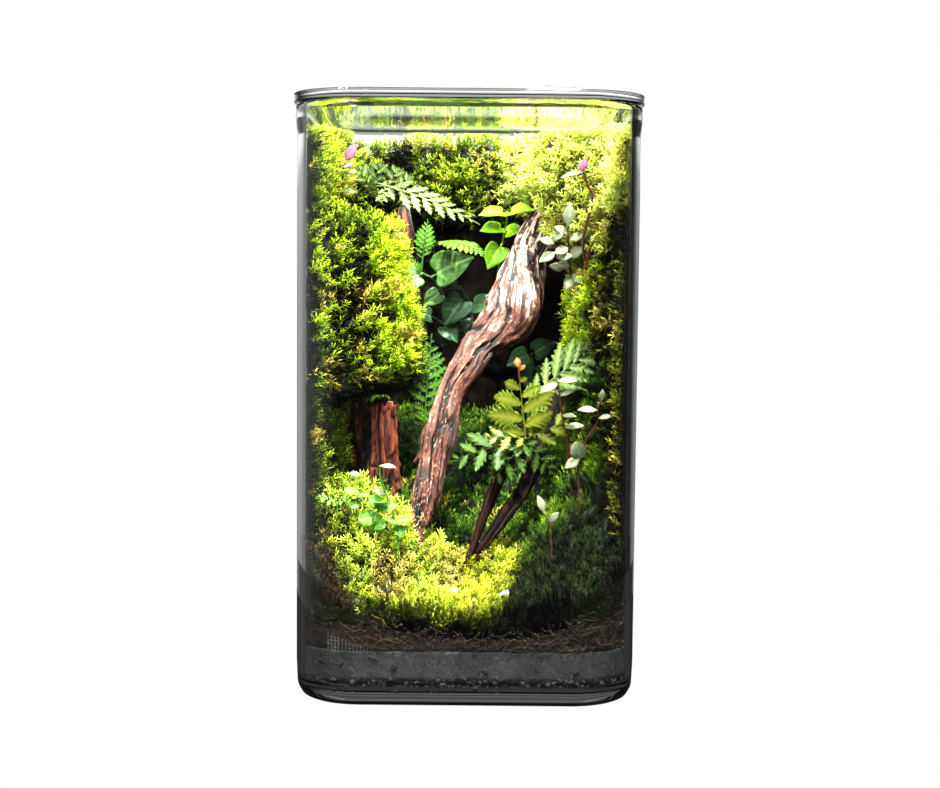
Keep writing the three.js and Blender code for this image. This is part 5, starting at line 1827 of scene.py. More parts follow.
class LeafForm(Enum):
    """Outlines of whole leaves: [place on the rib, place at the edge, half width] from foot to tip."""

    HEART = ((0, 0, 0.03), (0.15, 0.15, 0.03), (0.19, 0.09, 0.2), (0.27, 0.15, 0.35), (0.48, 0.42, 0.38),
             (0.68, 0.65, 0.29), (0.84, 0.82, 0.155), (1, 1, 0.012))
    OVAL = ((0, 0, 0.05), (0.12, 0.12, 0.11), (0.3, 0.3, 0.25), (0.55, 0.55, 0.28), (0.8, 0.8, 0.17), (1, 1, 0.02))
    ROUND = ((0, 0, 0.07), (0.12, 0.1, 0.3), (0.35, 0.33, 0.44), (0.62, 0.62, 0.43), (0.86, 0.86, 0.27), (1, 1, 0.04))


@dataclass(frozen=True)
class WholeLeaf:
    """A whole leaf with a rib and side veins."""

    form: LeafForm
    veins: int = 5
    thickness: float = 0.5
    rows: int = 30
    columns: int = 15
    wave: float = 0.02

    def shape(self, plane: BladePlane, tint: float) -> Shape:
        """The outline filled by a grid, v from -1 to 1 across. The face domes between sunk veins, the edge waves,
        and the thickness t(1 - v^2) closes to nothing at the margin.

        Args:
            plane: the plane it lies on.
            tint: its own shade, from 0 to 1.

        Returns:
            The leaf.
        """
        outline = curve_through(self.form.value, self.rows)
        v = np.linspace(-1, 1, self.columns)[None]
        rib, edge, half = (outline[:, k : k + 1] for k in range(3))
        u = rib + (edge - rib) * np.abs(v) ** 1.5
        across = np.maximum(half, 0.01) * v
        slant = (u - 0.55 * np.abs(across)) * self.veins * 1.15
        side_vein = np.clip(1 - np.abs(slant - np.round(slant)) * 9, 0, 1) * smooth_step(half, 0.08, 0.2)
        mid_vein = np.clip(1 - np.abs(across) * 26, 0, 1)
        vein = np.clip(np.maximum(mid_vein, 0.75 * side_vein * (1 - np.abs(v) ** 3)), 0, 1)
        dome = plane.length * (0.05 * half * (1 - np.abs(2 * (slant - np.round(slant))) ** 2) * (1 - v * v))
        ripple = plane.length * self.wave * np.sin(9 * u + 2.5 * np.sign(v)) * np.abs(v) ** 3
        relief = dome - 0.012 * plane.length * mid_vein + ripple
        thick = self.thickness * (1 - 0.85 * np.abs(v) ** 3)
        margin = smooth_step(np.abs(v) + 0 * u, 0.82, 0.98) * smooth_step(half, 0.05, 0.12)
        return skin(plane.place(u, across, relief + thick / 2), plane.place(u, across, relief - thick / 2),
                    vein=vein * smooth_step(half, 0.02, 0.06), margin=margin, tint=np.full(u.shape, tint))


@dataclass(frozen=True)
class CutLeaf:
    """A frond: toothed leaflets in two ranks along a rib."""

    leaflets: int  # pairs
    width: float  # reach of the longest leaflet, in shares of the frond's length
    peak: float = 0.3
    sweep: float = 0.5
    lobes: int = 5
    blade: float = 0.24  # half width of a leaflet, in shares of its length
    cut: float = 0.5
    thickness: float = 0.28
    droop: float = 0.05
    rows_per_lobe: int = 6

    def shape(self, plane: BladePlane, tint: float) -> Shape:
        """Leaflets laid on the bent plane, and the rib.

        Leaflet k of 2n leaves the rib at (k + 0.5) / 2n, by turns to both sides. Its reach rises to the peak and
        falls off to the frond's tip. Its half width is an oval sin(pi s^0.65) times 1 - cut + cut (1 - |2p - 1|)^0.8,
        where p runs from 0 to 1 over each lobe, and its edges are drawn forward so that the lobes point ahead.

        Args:
            plane: the plane it lies on.
            tint: its own shade, from 0 to 1.

        Returns:
            The frond.
        """
        k = np.arange(2 * self.leaflets)
        where = (k + 0.5) / (2 * self.leaflets)
        reach = self.width * np.minimum(1, 0.55 + 0.45 * where / self.peak)
        reach = reach * np.minimum(1, ((1 - where) / (1 - self.peak)) ** 0.8 + 0.08)
        side = np.where(k % 2, 1.0, -1.0)
        sweep = self.sweep * (0.75 + 0.8 * where) + 0.12 * np.sin(2.4 * k)
        ahead = np.stack([sweep * reach, side * reach], axis=-1)
        span = np.linalg.norm(ahead, axis=1)
        square = np.stack([-ahead[:, 1], ahead[:, 0]], axis=-1) / span[:, None]
        s = np.linspace(0, 1, self.lobes * self.rows_per_lobe + 1)[None, :, None]
        q = np.linspace(-1, 1, 5)[None, None, :]
        tooth = (1 - np.abs(2 * np.mod(s * self.lobes + 0.2, 1.0) - 1)) ** 0.8
        oval = np.sin(np.pi * np.clip(s, 0.015, 0.985) ** 0.65)
        half = self.blade * span[:, None, None] * oval * (1 - self.cut + self.cut * tooth)
        run = s * span[:, None, None] + 0.75 * half * np.abs(q) ** 1.5
        u, v = (foot + ahead[:, axis, None, None] / span[:, None, None] * run
                + square[:, axis, None, None] * q * half
                for axis, foot in ((0, (0.02 + 0.9 * where)[:, None, None]), (1, 0.0)))
        off = -self.droop * plane.length * np.abs(v) / self.width + 0.5 * np.abs(q) - 0.35 * (1 - tooth) * np.abs(q)
        front = plane.place(u, v, off + self.thickness / 2)
        back = plane.place(u, v, off - self.thickness / 2)
        vein = np.clip((1 - np.abs(q)) ** 3 + 0.5 * np.clip(tooth - 0.92, 0, 1) * 12 * (1 - np.abs(q)), 0, 1)
        lobes = skins(front, back, vein=vein + 0 * u, margin=np.abs(q) ** 4 * 0.6 + 0 * u,
                      tint=np.clip(tint + 0.2 * np.sin(1.7 * k)[:, None, None], 0, 1) + 0 * u)
        line = np.linspace(0, 1, 24)
        rib = tube(plane.place(line, 0 * line), (0.55 - 0.35 * line) * min(1.0, plane.length / 50), 6,
                   vein=np.full(24, 0.7), tint=np.full(24, tint))
        return join([lobes, rib])


@dataclass(frozen=True)
class Sprig:
    """One leaf's place on a plant: station on its stem, heading, facing, length in mm and curl. A facing given
    as a number z is (0, -1, z), towards the viewer and tipped up by z."""

    at: float
    heading: Vec
    facing: Vec | float
    length: float
    curl: float = 0.4


@dataclass
class Shootlet:
    """A stem of a plant through stations, with leaves of one form."""

    stem: Sequence[Vec]
    leaf: WholeLeaf | CutLeaf | None
    sprigs: Sequence[tuple[Any, ...]] = ()  # the values of each Sprig
    radii: tuple[float, float] = (0.7, 0.5)
    fold: float = 0.1

    def stem_shape(self, tint: float) -> Shape:
        """A round stem on a smooth curve through the stations, thinning to its tip.

        Args:
            tint: its shade, from 0 to 1.

        Returns:
            The stem.
        """
        path = curve_through(self.stem, 8 * len(self.stem))
        radius = np.linspace(*self.radii, len(path))
        return tube(path, radius, 8, tint=np.full(len(path), tint), vein=np.full(len(path), 0.15))

    def on(self, station: float) -> Array:
        """The place on the stem a number of stations along it.

        Args:
            station: number of stations from its foot.

        Returns:
            The point.
        """
        many = 400
        fine = curve_through(self.stem, many + 1)
        return fine[int(round(station / (len(self.stem) - 1) * many))]

    def leaf_shapes(self, rng: np.random.Generator) -> list[Shape]:
        """Every leaf on its bent plane.

        Args:
            rng: the plant's source of chance.

        Returns:
            One shape for each leaf.
        """
        made = []
        for sprig in (Sprig(*row) for row in self.sprigs):
            facing = sprig.facing if isinstance(sprig.facing, tuple) else (0.0, -1.0, sprig.facing)
            plane = BladePlane(self.on(sprig.at), sprig.heading, facing, sprig.length, sprig.curl, self.fold)
            made.append(self.leaf.shape(plane, float(rng.uniform(0.2, 0.9))))
        return made


@dataclass
class Plant:
    """A plant: its stems, and its leaves, which may wear another finish."""

    name: str
    slot: str
    leaf_look: Look
    shootlets: Sequence[Shootlet]
    stem_look: Look | None = None
    under: Sequence[Shootlet] = ()
    under_look: Look | None = None
    replaces: bool = True

    def build(self, seed: int) -> None:
        """Makes one piece of stems and leaves, or two where the stems have a finish of their own.

        Args:
            seed: picks its leaves' tints.
        """
        rng = np.random.default_rng(seed)
        if self.under:
            lower = [shape for s in self.under for shape in [s.stem_shape(0.4), *s.leaf_shapes(rng)]]
            add_piece(f"{self.name}_under", join(lower), self.under_look)
        stems = [s.stem_shape(0.5) for s in self.shootlets]
        leaves = [shape for s in self.shootlets for shape in s.leaf_shapes(rng)]
        if self.stem_look is None:
            node = [self.name] if self.replaces else []
            add_piece(f"{self.name}_plant", join(stems + leaves), self.leaf_look, node)
            return
        add_piece(f"{self.name}_leaves", join(leaves), self.leaf_look, [self.name])
        add_piece(f"{self.name}_stems", join(stems), self.stem_look)


def rooted(x: float, y: float) -> Vec:
    """A point for a plant to root in, sunk into the soil."""
    return (x, y, float(soil_height(np.array(x), np.array(y))) - 4.0)


# ---- The planting
def ferns() -> list[Plant]:
    """Ferns and clubmoss.

    Returns:
        The plants.
    """
    pale = CutLeaf(8, 0.17, peak=0.2, sweep=1.0, lobes=4, blade=0.24, cut=0.6)
    bud = WholeLeaf(LeafForm.OVAL, veins=0, thickness=0.8, rows=14, columns=9)
    fan = CutLeaf(3, 0.4, peak=0.5, sweep=0.8, lobes=4, blade=0.34, cut=0.6)
    spray = CutLeaf(8, 0.28, sweep=0.7, lobes=3, blade=0.24, cut=0.6)
    return [
        Plant("fern_upper_left", "fern_pale", Look.FERN_PALE, [
            Shootlet([(-76, 44, 286), (-72, 36, 293), (-66, 26, 300), (-57, 21, 302.5)], pale, [
                (3, (64, -17, -17), (0.1, -0.75, 0.7), 70, 0.35),
            ], (0.8, 0.7)),
            Shootlet([(-66, 30, 296), (-60, 23, 300), (-50, 17, 300), (-42, 13, 297)], fan, [
                (0.9, (-7, -6, 12), 0.3, 15), (1.2, (2, -6, 13), 0.25, 16), (2.1, (5, -5, 12), 0.3, 14),
                (2.7, (9, -4, 10), (0.1, -1, 0.4), 12), (1.8, (-1, -8, -9), 0.6, 12),
            ], (0.6, 0.5)),
        ]),
        Plant("clubmoss_upright", "clubmoss", Look.CLUBMOSS, [
            Shootlet([(-33, 88, 221), (-32, 72, 226), (-30, 51, 244), (-29, 48, 257)], spray, [
                (2.9, (3, -4, 24), 0, 26, 0.3), (2, (-9, -7, 15), 0.2, 17, 0.3),
            ]),
        ]),
        Plant("clubmoss_drooping", "clubmoss", Look.CLUBMOSS, [
            Shootlet([(-23, 88, 260), (-22, 70, 264), (-19, 54, 267)],
                     CutLeaf(9, 0.26, sweep=0.7, lobes=3, blade=0.22, cut=0.6), [
                (1.9, (28, -30, 4), (0.1, -0.4, 0.9), 43, 0.7),
            ]),
        ]),
        Plant("fern_left_column", "fern_green", Look.FERN_GREEN, [
            Shootlet([rooted(-24, -2), (-25, -6, 138), (-26, -10, 157)],
                     CutLeaf(9, 0.24, peak=0.35, sweep=0.6, lobes=4, cut=0.65), [
                (1.9, (4, 4, 54), 0.1, 56, 0.25),
            ], (0.9, 0.7)),
        ]),
        Plant("fern_right", "fern_pale", Look.FERN_PALE, [
            Shootlet([rooted(33, 2), (35, -8, 140), (38, -13, 166), (39.5, -15, 174)],
                     CutLeaf(8, 0.25, peak=0.22, sweep=0.9, lobes=5, blade=0.24, cut=0.5), [
                (2.9, (46, -22, 41), (-0.35, -0.9, 0.3), 66, 0.35),
            ], (0.9, 0.7)),
        ]),
        Plant("fern_bright", "fern_bright", Look.FERN_BRIGHT, [
            Shootlet([rooted(39, -26), (38.5, -28, 120), (38, -30, 138), (36.8, -36, 146.5), (34.5, -46, 150)],
                     CutLeaf(4, 0.54, peak=0.3, sweep=0.35, lobes=6, blade=0.36, cut=0.42), [
                (3.9, (-4, -3, 35), 0.05, 39, 0.15),
            ], (1.0, 0.8)),
            Shootlet([(36.8, -36, 146.5), (36, -40, 148.5), (34.5, -46, 150)],
                     CutLeaf(3, 0.42, sweep=0.7, lobes=4, blade=0.3, cut=0.55), [
                (1.7, (-23, -9, 4), (0.1, -0.8, 0.7), 26), (1.6, (24, -4, 12), 0.25, 28),
            ], (0.9, 0.7)),
        ], under=[
            Shootlet([(36.8, -36, 146.5), (36, -40, 147.5), (34.5, -45, 148)],
                     CutLeaf(4, 0.38, sweep=0.6, lobes=4, blade=0.26, cut=0.5), [
                (1.5, (-44, -12, -4), (0.1, -0.7, 0.8), 48, 0.5), (1.8, (-21, -13, -22), 0.5, 33),
                (1.8, (17, -8, -18), 0.3, 26),
            ], (0.9, 0.7)),
        ], under_look=Look.FERN_FRESH),
        Plant("fern_bright_bud", "fern_bright", Look.RUSTY, [
            Shootlet([(31, -48.5, 183), (30.5, -49, 187), (30, -49, 191)], bud, [
                (1.9, (-1, -2, 7), 0.2, 8, 1.4), (1.6, (4, -2, 5), 0.4, 6, 1.2),
            ], (0.6, 0.4)),
        ], replaces=False),
        Plant("fern_far_left", "fern_green", Look.SEEDLING, [
            Shootlet([rooted(-74, -62), (-75, -62, 113)], CutLeaf(4, 0.36, lobes=3), [
                (0.95, (-11, -6, 7), OPEN, 16), (0.95, (10, -7, 8), OPEN, 16),
            ], (0.8, 0.6)),
        ]),
    ]


def figs() -> list[Plant]:
    """Climbing fig: stems rooted in the back bank, with heart-shaped leaves.

    Returns:
        The plants.
    """
    heart = WholeLeaf(LeafForm.HEART)
    return [
        Plant("fig_bright", "fig_bright", Look.FIG_BRIGHT, [
            Shootlet([(19, 90, 224), (18.5, 66, 232), (18.4, 56, 243), (20.2, 52, 256), (21.9, 48, 269),
                      (23.6, 44, 279), (24.2, 41, 286)], heart, [
                (5.9, (13, -7, 4), (0, -0.6, 1), 19), (5.9, (-12, -5, 1), (0, -0.6, 1), 19),
                (4.6, (-13, -8, 1), (0, -0.8, 1), 18), (4.3, (10, -5, 4), (0.2, -0.8, 0.8), 15),
                (3.8, (-7, -6, -11), (-0.2, -1, 0.2), 20),
            ], (0.7, 0.5), 0.2),
        ]),
        Plant("fig_left", "fig_green", Look.FIG_GREEN, [
            Shootlet([(-14, 90, 222), (-15, 68, 229), (-17, 56, 236), (-22, 50, 243), (-29, 46, 247)], heart, [
                (3.3, (22, -9, 13), (-0.1, -1, 0.45), 31), (4, (-13, -6, -6), (-0.1, -1, 0.4), 22),
                (1.9, (-13, -9, -9), (-0.1, -1, 0.3), 16),
            ], (0.8, 0.6), 0.2),
        ]),
        Plant("fig_shade", "fig_shade", Look.FIG_SHADE, [
            Shootlet([(4, 90, 204), (3, 68, 214), (2, 58, 224), (-1, 53, 233), (-5, 50, 239)], heart, [
                (2.2, (12, -9, 3), 0.7, 20), (3, (-10, -7, -12), (-0.2, -1, 0.35), 25),
                (4, (-10, -6, 2), (0, -0.8, 0.9), 16), (1.7, (2, -9, -12), 0.3, 22),
            ], (0.8, 0.6), 0.2),
            Shootlet([(4, 68, 214), (-6, 60, 210), (-14, 54, 214), (-22, 50, 219)], heart, [
                (3, (-7, -7, 3), 0.5, 15), (2.2, (6, -7, -7), 0.4, 17), (1.4, (-6, -8, -8), 0.4, 15),
            ], (0.7, 0.5), 0.2),
        ]),
        Plant("fig_behind_wood", "fig_shade", Look.FIG_SHADE, [
            Shootlet([(43, 86, 182), (42, 66, 190), (41, 57, 196)], heart, [
                (1.9, (9, -5, 6), 0.4, 18), (2, (-10, -6, -4), 0.4, 19), (1, (-2, -10, -11), 0.4, 22),
            ], (0.8, 0.6), 0.2),
        ]),
    ]


def creepers() -> list[Plant]:
    """Small creepers with fleshy oval leaves on pinkish stems, and seedlings.

    Returns:
        The plants.
    """
    oval = WholeLeaf(LeafForm.OVAL, veins=0, thickness=0.9, rows=18, columns=11, wave=0.0)
    disc = WholeLeaf(LeafForm.ROUND, veins=3, thickness=0.6, rows=20, columns=13, wave=0.01)
    creeper = {"slot": "creeper", "leaf_look": Look.CREEPER, "stem_look": Look.CREEPER_STEM}
    return [
        Plant("creeper_upper_left", shootlets=[
            Shootlet([(-80, -10, 273), (-77, -19, 284), (-76, -22, 296), (-75.6, -24, 305), (-74, -26, 313)], oval, [
                (3.7, (-9, -2, 1), OPEN, 8), (3, (9, -2, 3), OPEN, 9), (2.3, (-8, -2, 4), OPEN, 8),
                (1.9, (9, -3, 1), OPEN, 9),
            ]),
        ], under=[
            Shootlet([(-75.6, -24, 305), (-74.8, -25, 309), (-74, -26, 313)], oval, [
                (2, (6, -1, 9), (0.2, -1, 0.3), 12), (1.2, (5, -4, 1), (0.2, -1, 0.6), 7),
            ], (0.6, 0.5)),
        ], under_look=Look.CREEPER_PINK, **creeper),
        Plant("creeper_tall", shootlets=[
            Shootlet([(77, 6, 236), (72, -16, 243), (70.6, -26, 252), (68, -33, 264), (69.5, -37, 275),
                      (73, -41, 291), (69, -43, 302), (66.5, -44, 307)], oval, [
                (6.8, (-14, -2, -1), (0, -0.3, 1), 14), (4.8, (9, -4, 1), (0, -0.4, 1), 10),
            ], (1.0, 0.6)),
            Shootlet([(70, -26, 250), (73, -32, 262), (77, -38, 270), (82, -42, 272.5), (85.5, -44, 269)], None, (),
                     (0.9, 0.6)),
        ], under=[
            Shootlet([(69, -43, 302), (67.5, -43.6, 305), (66.5, -44, 307)], oval, [
                (2, (1.5, -1, 6), 0.2, 8), (1.8, (-2, -1, 5), 0.2, 6),
            ], (0.6, 0.5)),
            Shootlet([(82, -42, 272.5), (84, -43.4, 271.5), (85.5, -44, 269)], oval, [
                (2, (1, -1, -8), 0, 9, 0.9), (0.4, (-2, -3, 5), 0.4, 8),
            ], (0.7, 0.6)),
        ], under_look=Look.CREEPER_PINK, **creeper),
        Plant("creeper_cluster", shootlets=[
            Shootlet([(72, 10, 231), (66, -6, 238), (63, -12, 245), (54, -20, 254), (51, -24, 266)], oval, [
                (3.5, (-10, -5, -5), 0.7, 12), (3.9, (-8, -4, 3), 0.4, 10), (4, (5, -2, 9), 0.3, 11),
                (3.2, (8, -4, 2), 0.4, 10), (2.6, (-8, -5, 2), 0.4, 10), (2, (-4, -9, -6), 0.4, 12),
                (1.4, (5, -8, -6), 0.4, 11), (0.8, (-3, -8, -9), 0.4, 10),
            ]),
            Shootlet([(66, -6, 238), (63, -12, 245), (60.5, -17, 254), (59.7, -21, 266), (59, -23, 275)], oval, [
                (4, (1, -3, 9), 0.4, 14), (3.1, (9, -4, 4), 0.6, 11), (2.2, (9, -6, 8), (-0.2, -1, 0.5), 13),
                (3.5, (-7, -4, 4), 0.4, 10), (2.7, (-6, -6, -2), 0.4, 11), (1.8, (-7, -7, 1), 0.4, 10),
                (1.2, (7, -8, -4), 0.4, 12),
            ], (0.9, 0.6)),
        ], **creeper),
        Plant("creeper_right_low", shootlets=[
            Shootlet([rooted(64, -38), (61, -41, 138), (59.2, -44, 149), (56, -47, 163.5), (54.4, -50, 175),
                      (53, -51, 184)], oval, [
                (5, (10, -4, 2), OPEN, 12), (4.8, (-10, -3, -3), OPEN, 12), (4, (8, -3, 5), OPEN, 9),
                (3, (8, -4, 1), OPEN, 9), (2.5, (10, -3, 3), OPEN, 12),
            ]),
        ], **creeper),
        Plant("creeper_right_tall", shootlets=[
            Shootlet([rooted(67, -50), (66, -51, 131), (66.5, -52, 138), (70, -54, 150), (76.5, -56, 161),
                      (76.2, -57, 168), (78.4, -57, 173)], oval, [
                (4.9, (-11, -3, 2), OPEN, 12), (4.2, (9, -2, 3), OPEN, 9), (6, (1, -2, 7), (0.2, -1, 0), 7),
                (2.1, (-9, -3, -5), 0.4, 11),
            ]),
            Shootlet([(66.5, -52, 138), (68, -53, 144), (70, -54, 150)], disc, [
                (0.1, (-2.5, -4, 9), 0.3, 11),
            ]),
        ], **creeper),
        Plant("creeper_foot_right", shootlets=[
            Shootlet([rooted(50, -66), (49, -66, 100), (45, -66, 108)], oval, [
                (2, (-3, -1, 14), (0.9, -1, 0), 11), (1.2, (8, -3, 9), 0.2, 8),
            ]),
        ], **creeper),
        Plant("seedling_tall", "seedling", Look.CREEPER, [
            Shootlet([rooted(-40.5, -66), (-41.6, -65, 104), (-44.6, -66, 114), (-49, -68, 127),
                      (-49.8, -69, 135)], oval, [
                (4, (9, -3, 1), (0, -0.4, 1), 10), (2.3, (-7, -3, 4), OPEN, 9),
            ]),
        ], Look.SEEDLING),
        Plant("seedling_patch", "seedling", Look.SEEDLING, [
            Shootlet([rooted(-52, -68), (-52, -68, 104), (-49, -68.4, 112)], disc, [
                (2, (-8, -3, 6), 0.4, 9), (2, (1, -9, 5), OPEN, 10), (1.1, (-9, -6, -1), 0.4, 11),
                (0.9, (6, -9, -1), 0.4, 9), (1.6, (11, -4, 4), OPEN, 11), (1.3, (-3, -5, -9), 0, 9),
            ]),
            Shootlet([rooted(-38, -70), (-39, -71, 97), (-40, -72, 103)], disc, [
                (2, (7, -4, 3), OPEN, 9), (1.7, (-5, -5, 4), OPEN, 8), (1.3, (3, -7, -4), 0.4, 8),
            ]),
            Shootlet([rooted(-63, -64), (-63, -66, 112), (-62, -67, 119)], disc, [
                (2, (-7, -4, 3), OPEN, 9), (1.7, (6, -5, 2), OPEN, 8), (1.2, (-2, -7, -3), 0.4, 8),
            ]),
        ]),
    ]


def moss() -> list[MossCushion]:
    """Every cushion, and thin growth over the rest of the bank's two sides.

    Returns:
        The cushions.
    """
    front = (-104.0, -37.6)
    # heights against x below which the front moss is coloured as painted shadow: over withered brown moss on the
    # left, dark green on the right
    dead_and_shade_left = ((-93.0, -80.0, -70.0, -60.0, -45.0), (104.0, 92.0, 74.0, 52.0, 0.0))
    painted_shade_right = ((4.0, 16.0, 32.0, 56.0, 92.0), (0.0, 48.0, 80.0, 100.0, 134.0))
    return [
        FloorCushion("moss_front_left", "moss_bright", Look.MOSS_FRONT, MossKind.STAR, 1, 10,
                     x=(-104, -15), y=front, dead_and_shade_line=dead_and_shade_left),
        FloorCushion("moss_front_middle", "moss_straw", Look.MOSS_MIDDLE, MossKind.STRAW, 2, 10,
                     x=(-14.2, 32), y=front, dead_and_shade_line=painted_shade_right),
        FloorCushion("moss_front_right", "moss_green", Look.MOSS_HAIR, MossKind.HAIR, 3, 10,
                     x=(32.8, 104), y=front, dead_and_shade_line=painted_shade_right),
        FloorCushion("moss_glade", "moss_deep", Look.MOSS_DEEP, MossKind.NEEDLE, 4, 8, x=(-86, 72), y=(-36.8, 70)),
        FloorCushion("moss_front_hair", "moss_green", Look.MOSS_MIDDLE, MossKind.HAIR, 23, 9,
                     x=(-44, 58), y=(-104, -74), dead_and_shade_line=painted_shade_right, replaces_node=False),
        BankCushion("moss_left_column", "moss_bright", Look.MOSS_COLUMN, MossKind.NEEDLE, 11, 6, 8.5, tuft=15,
                    hollow=0.41, start=124, end=214, low=(176, 172), high=282),
        BankCushion("moss_left_foot", "moss_green", Look.MOSS_GREEN, MossKind.STAR, 12, spill=13,
                    start=152, end=214, low=(126, 120), high=162),
        BankCushion("moss_left_top", "moss_green", Look.MOSS_GREEN, MossKind.STAR, 13,
                    start=128, end=204, low=(294, 296), capped=True, hollow=0.3),
        BankCushion("moss_back_top", "moss_green", Look.MOSS_GREEN, MossKind.STAR, 14,
                    start=74, end=123, low=(283, 281), capped=True),
        BankCushion("moss_right_brow", "moss_lime", Look.MOSS_LIME, MossKind.FEATHER, 15, hollow=0.3,
                    start=24, end=73, low=(272, 290), capped=True),
        BankCushion("moss_right_shoulder", "moss_lime", Look.MOSS_LIME, MossKind.FEATHER, 16, hollow=0.3,
                    start=-28, end=22.4, low=(262, 266), capped=True),
        BankCushion("moss_right_column", "moss_bright", Look.MOSS_BRIGHT, MossKind.STAR, 17, hollow=0.45,
                    start=-26, end=18, low=(198, 200), high=246),
        BankCushion("moss_right_foot", "moss_deep", Look.MOSS_DEEP, MossKind.NEEDLE, 18,
                    start=-32, end=22, low=(122, 126), high=188),
        BankCushion("moss_column_stars", "moss_bright", Look.MOSS_BRIGHT, MossKind.STAR, 22, 8.5, 8, tuft=11,
                    spill=6, hollow=0.36, start=180, end=218, low=(176, 172), high=286, replaces_node=False),
        BankCushion("moss_thin_left", "moss_deep", Look.MOSS_COLUMN, MossKind.VELVET, 19, 5, 4, spill=2,
                    start=126, end=221, low=(100, 90), high=206, replaces_node=False),
        BankCushion("moss_thin_right", "moss_deep", Look.MOSS_WALL, MossKind.VELVET, 20, 5, 4, spill=2, hollow=0.42,
                    start=-42, end=32, low=(90, 120), high=284, replaces_node=False),
        BankCushion("moss_corner_left", "moss_green", Look.MOSS_GREEN, MossKind.STAR, 24, 5, 4, spill=4,
                    start=190, end=221, low=(286, 284), high=320, replaces_node=False),
        BankCushion("moss_corner_right", "moss_lime", Look.MOSS_LIME, MossKind.STAR, 25, 5, 4, spill=4,
                    start=-42, end=-24, low=(282, 282), high=320, replaces_node=False),
        BankCushion("moss_column_fringe", "moss_bright", Look.MOSS_COLUMN, MossKind.FRINGE, 21, 7, 5, spill=2,
                    start=138, end=217, low=(168, 166), high=186, replaces_node=False),
    ]


@dataclass
class Grit:
    """Lumps of white grit on the moss: broken stone, one cluster for each CAD node."""

    sizes: tuple[tuple[str, float], ...] = (("grit_left", 4.2), ("grit_front_left", 2.8), ("grit_front_right", 2.8))

    def build(self) -> None:
        """Each cluster is one large and a few small sharp lumps."""
        for seed, (node, size) in enumerate(self.sizes):
            rng = np.random.default_rng(70 + seed)
            low, high = (np.array(c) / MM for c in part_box(node))
            middle = (low + high) / 2
            offset = np.vstack([np.zeros(3), rng.normal(0, 0.45 * size, (5, 3)) * [1, 1, 0.2]])
            axes = axes_about(rng.normal(size=(6, 3)), rng.uniform(0, 6, 6))
            scale = size * rng.uniform(0.75, 1.15, (6, 3)) * np.array([[0.9]] + [[0.42]] * 5)
            lumps = copies(crumb(), middle + offset, axes, scale, tint=rng.random(6))
            lumps.points += 0.5 * size * (noise(lumps.points, 1.5, 71)[:, None] - 0.5)
            add_piece(f"{node}_stones", lumps, Look.GRIT, [node], smooth=False)


# ---- Studio
def stand(thing: bpy.types.ID, name: str, axes: Array, place: Sequence[float]) -> bpy.types.Object:
    """Puts a camera, a light or a stage mesh into the scene.

    Args:
        thing: its data.
        name: its name.
        axes: its x, y and z directions as rows.
        place: where it stands, in metres.

    Returns:
        The new object.
    """
    placed = np.eye(4)
    placed[:3, :3], placed[:3, 3] = np.asarray(axes).T, place
    made = bpy.data.objects.new(name, thing)
    made.matrix_world = Matrix(placed.tolist())
    bpy.context.scene.collection.objects.link(made)
    return made


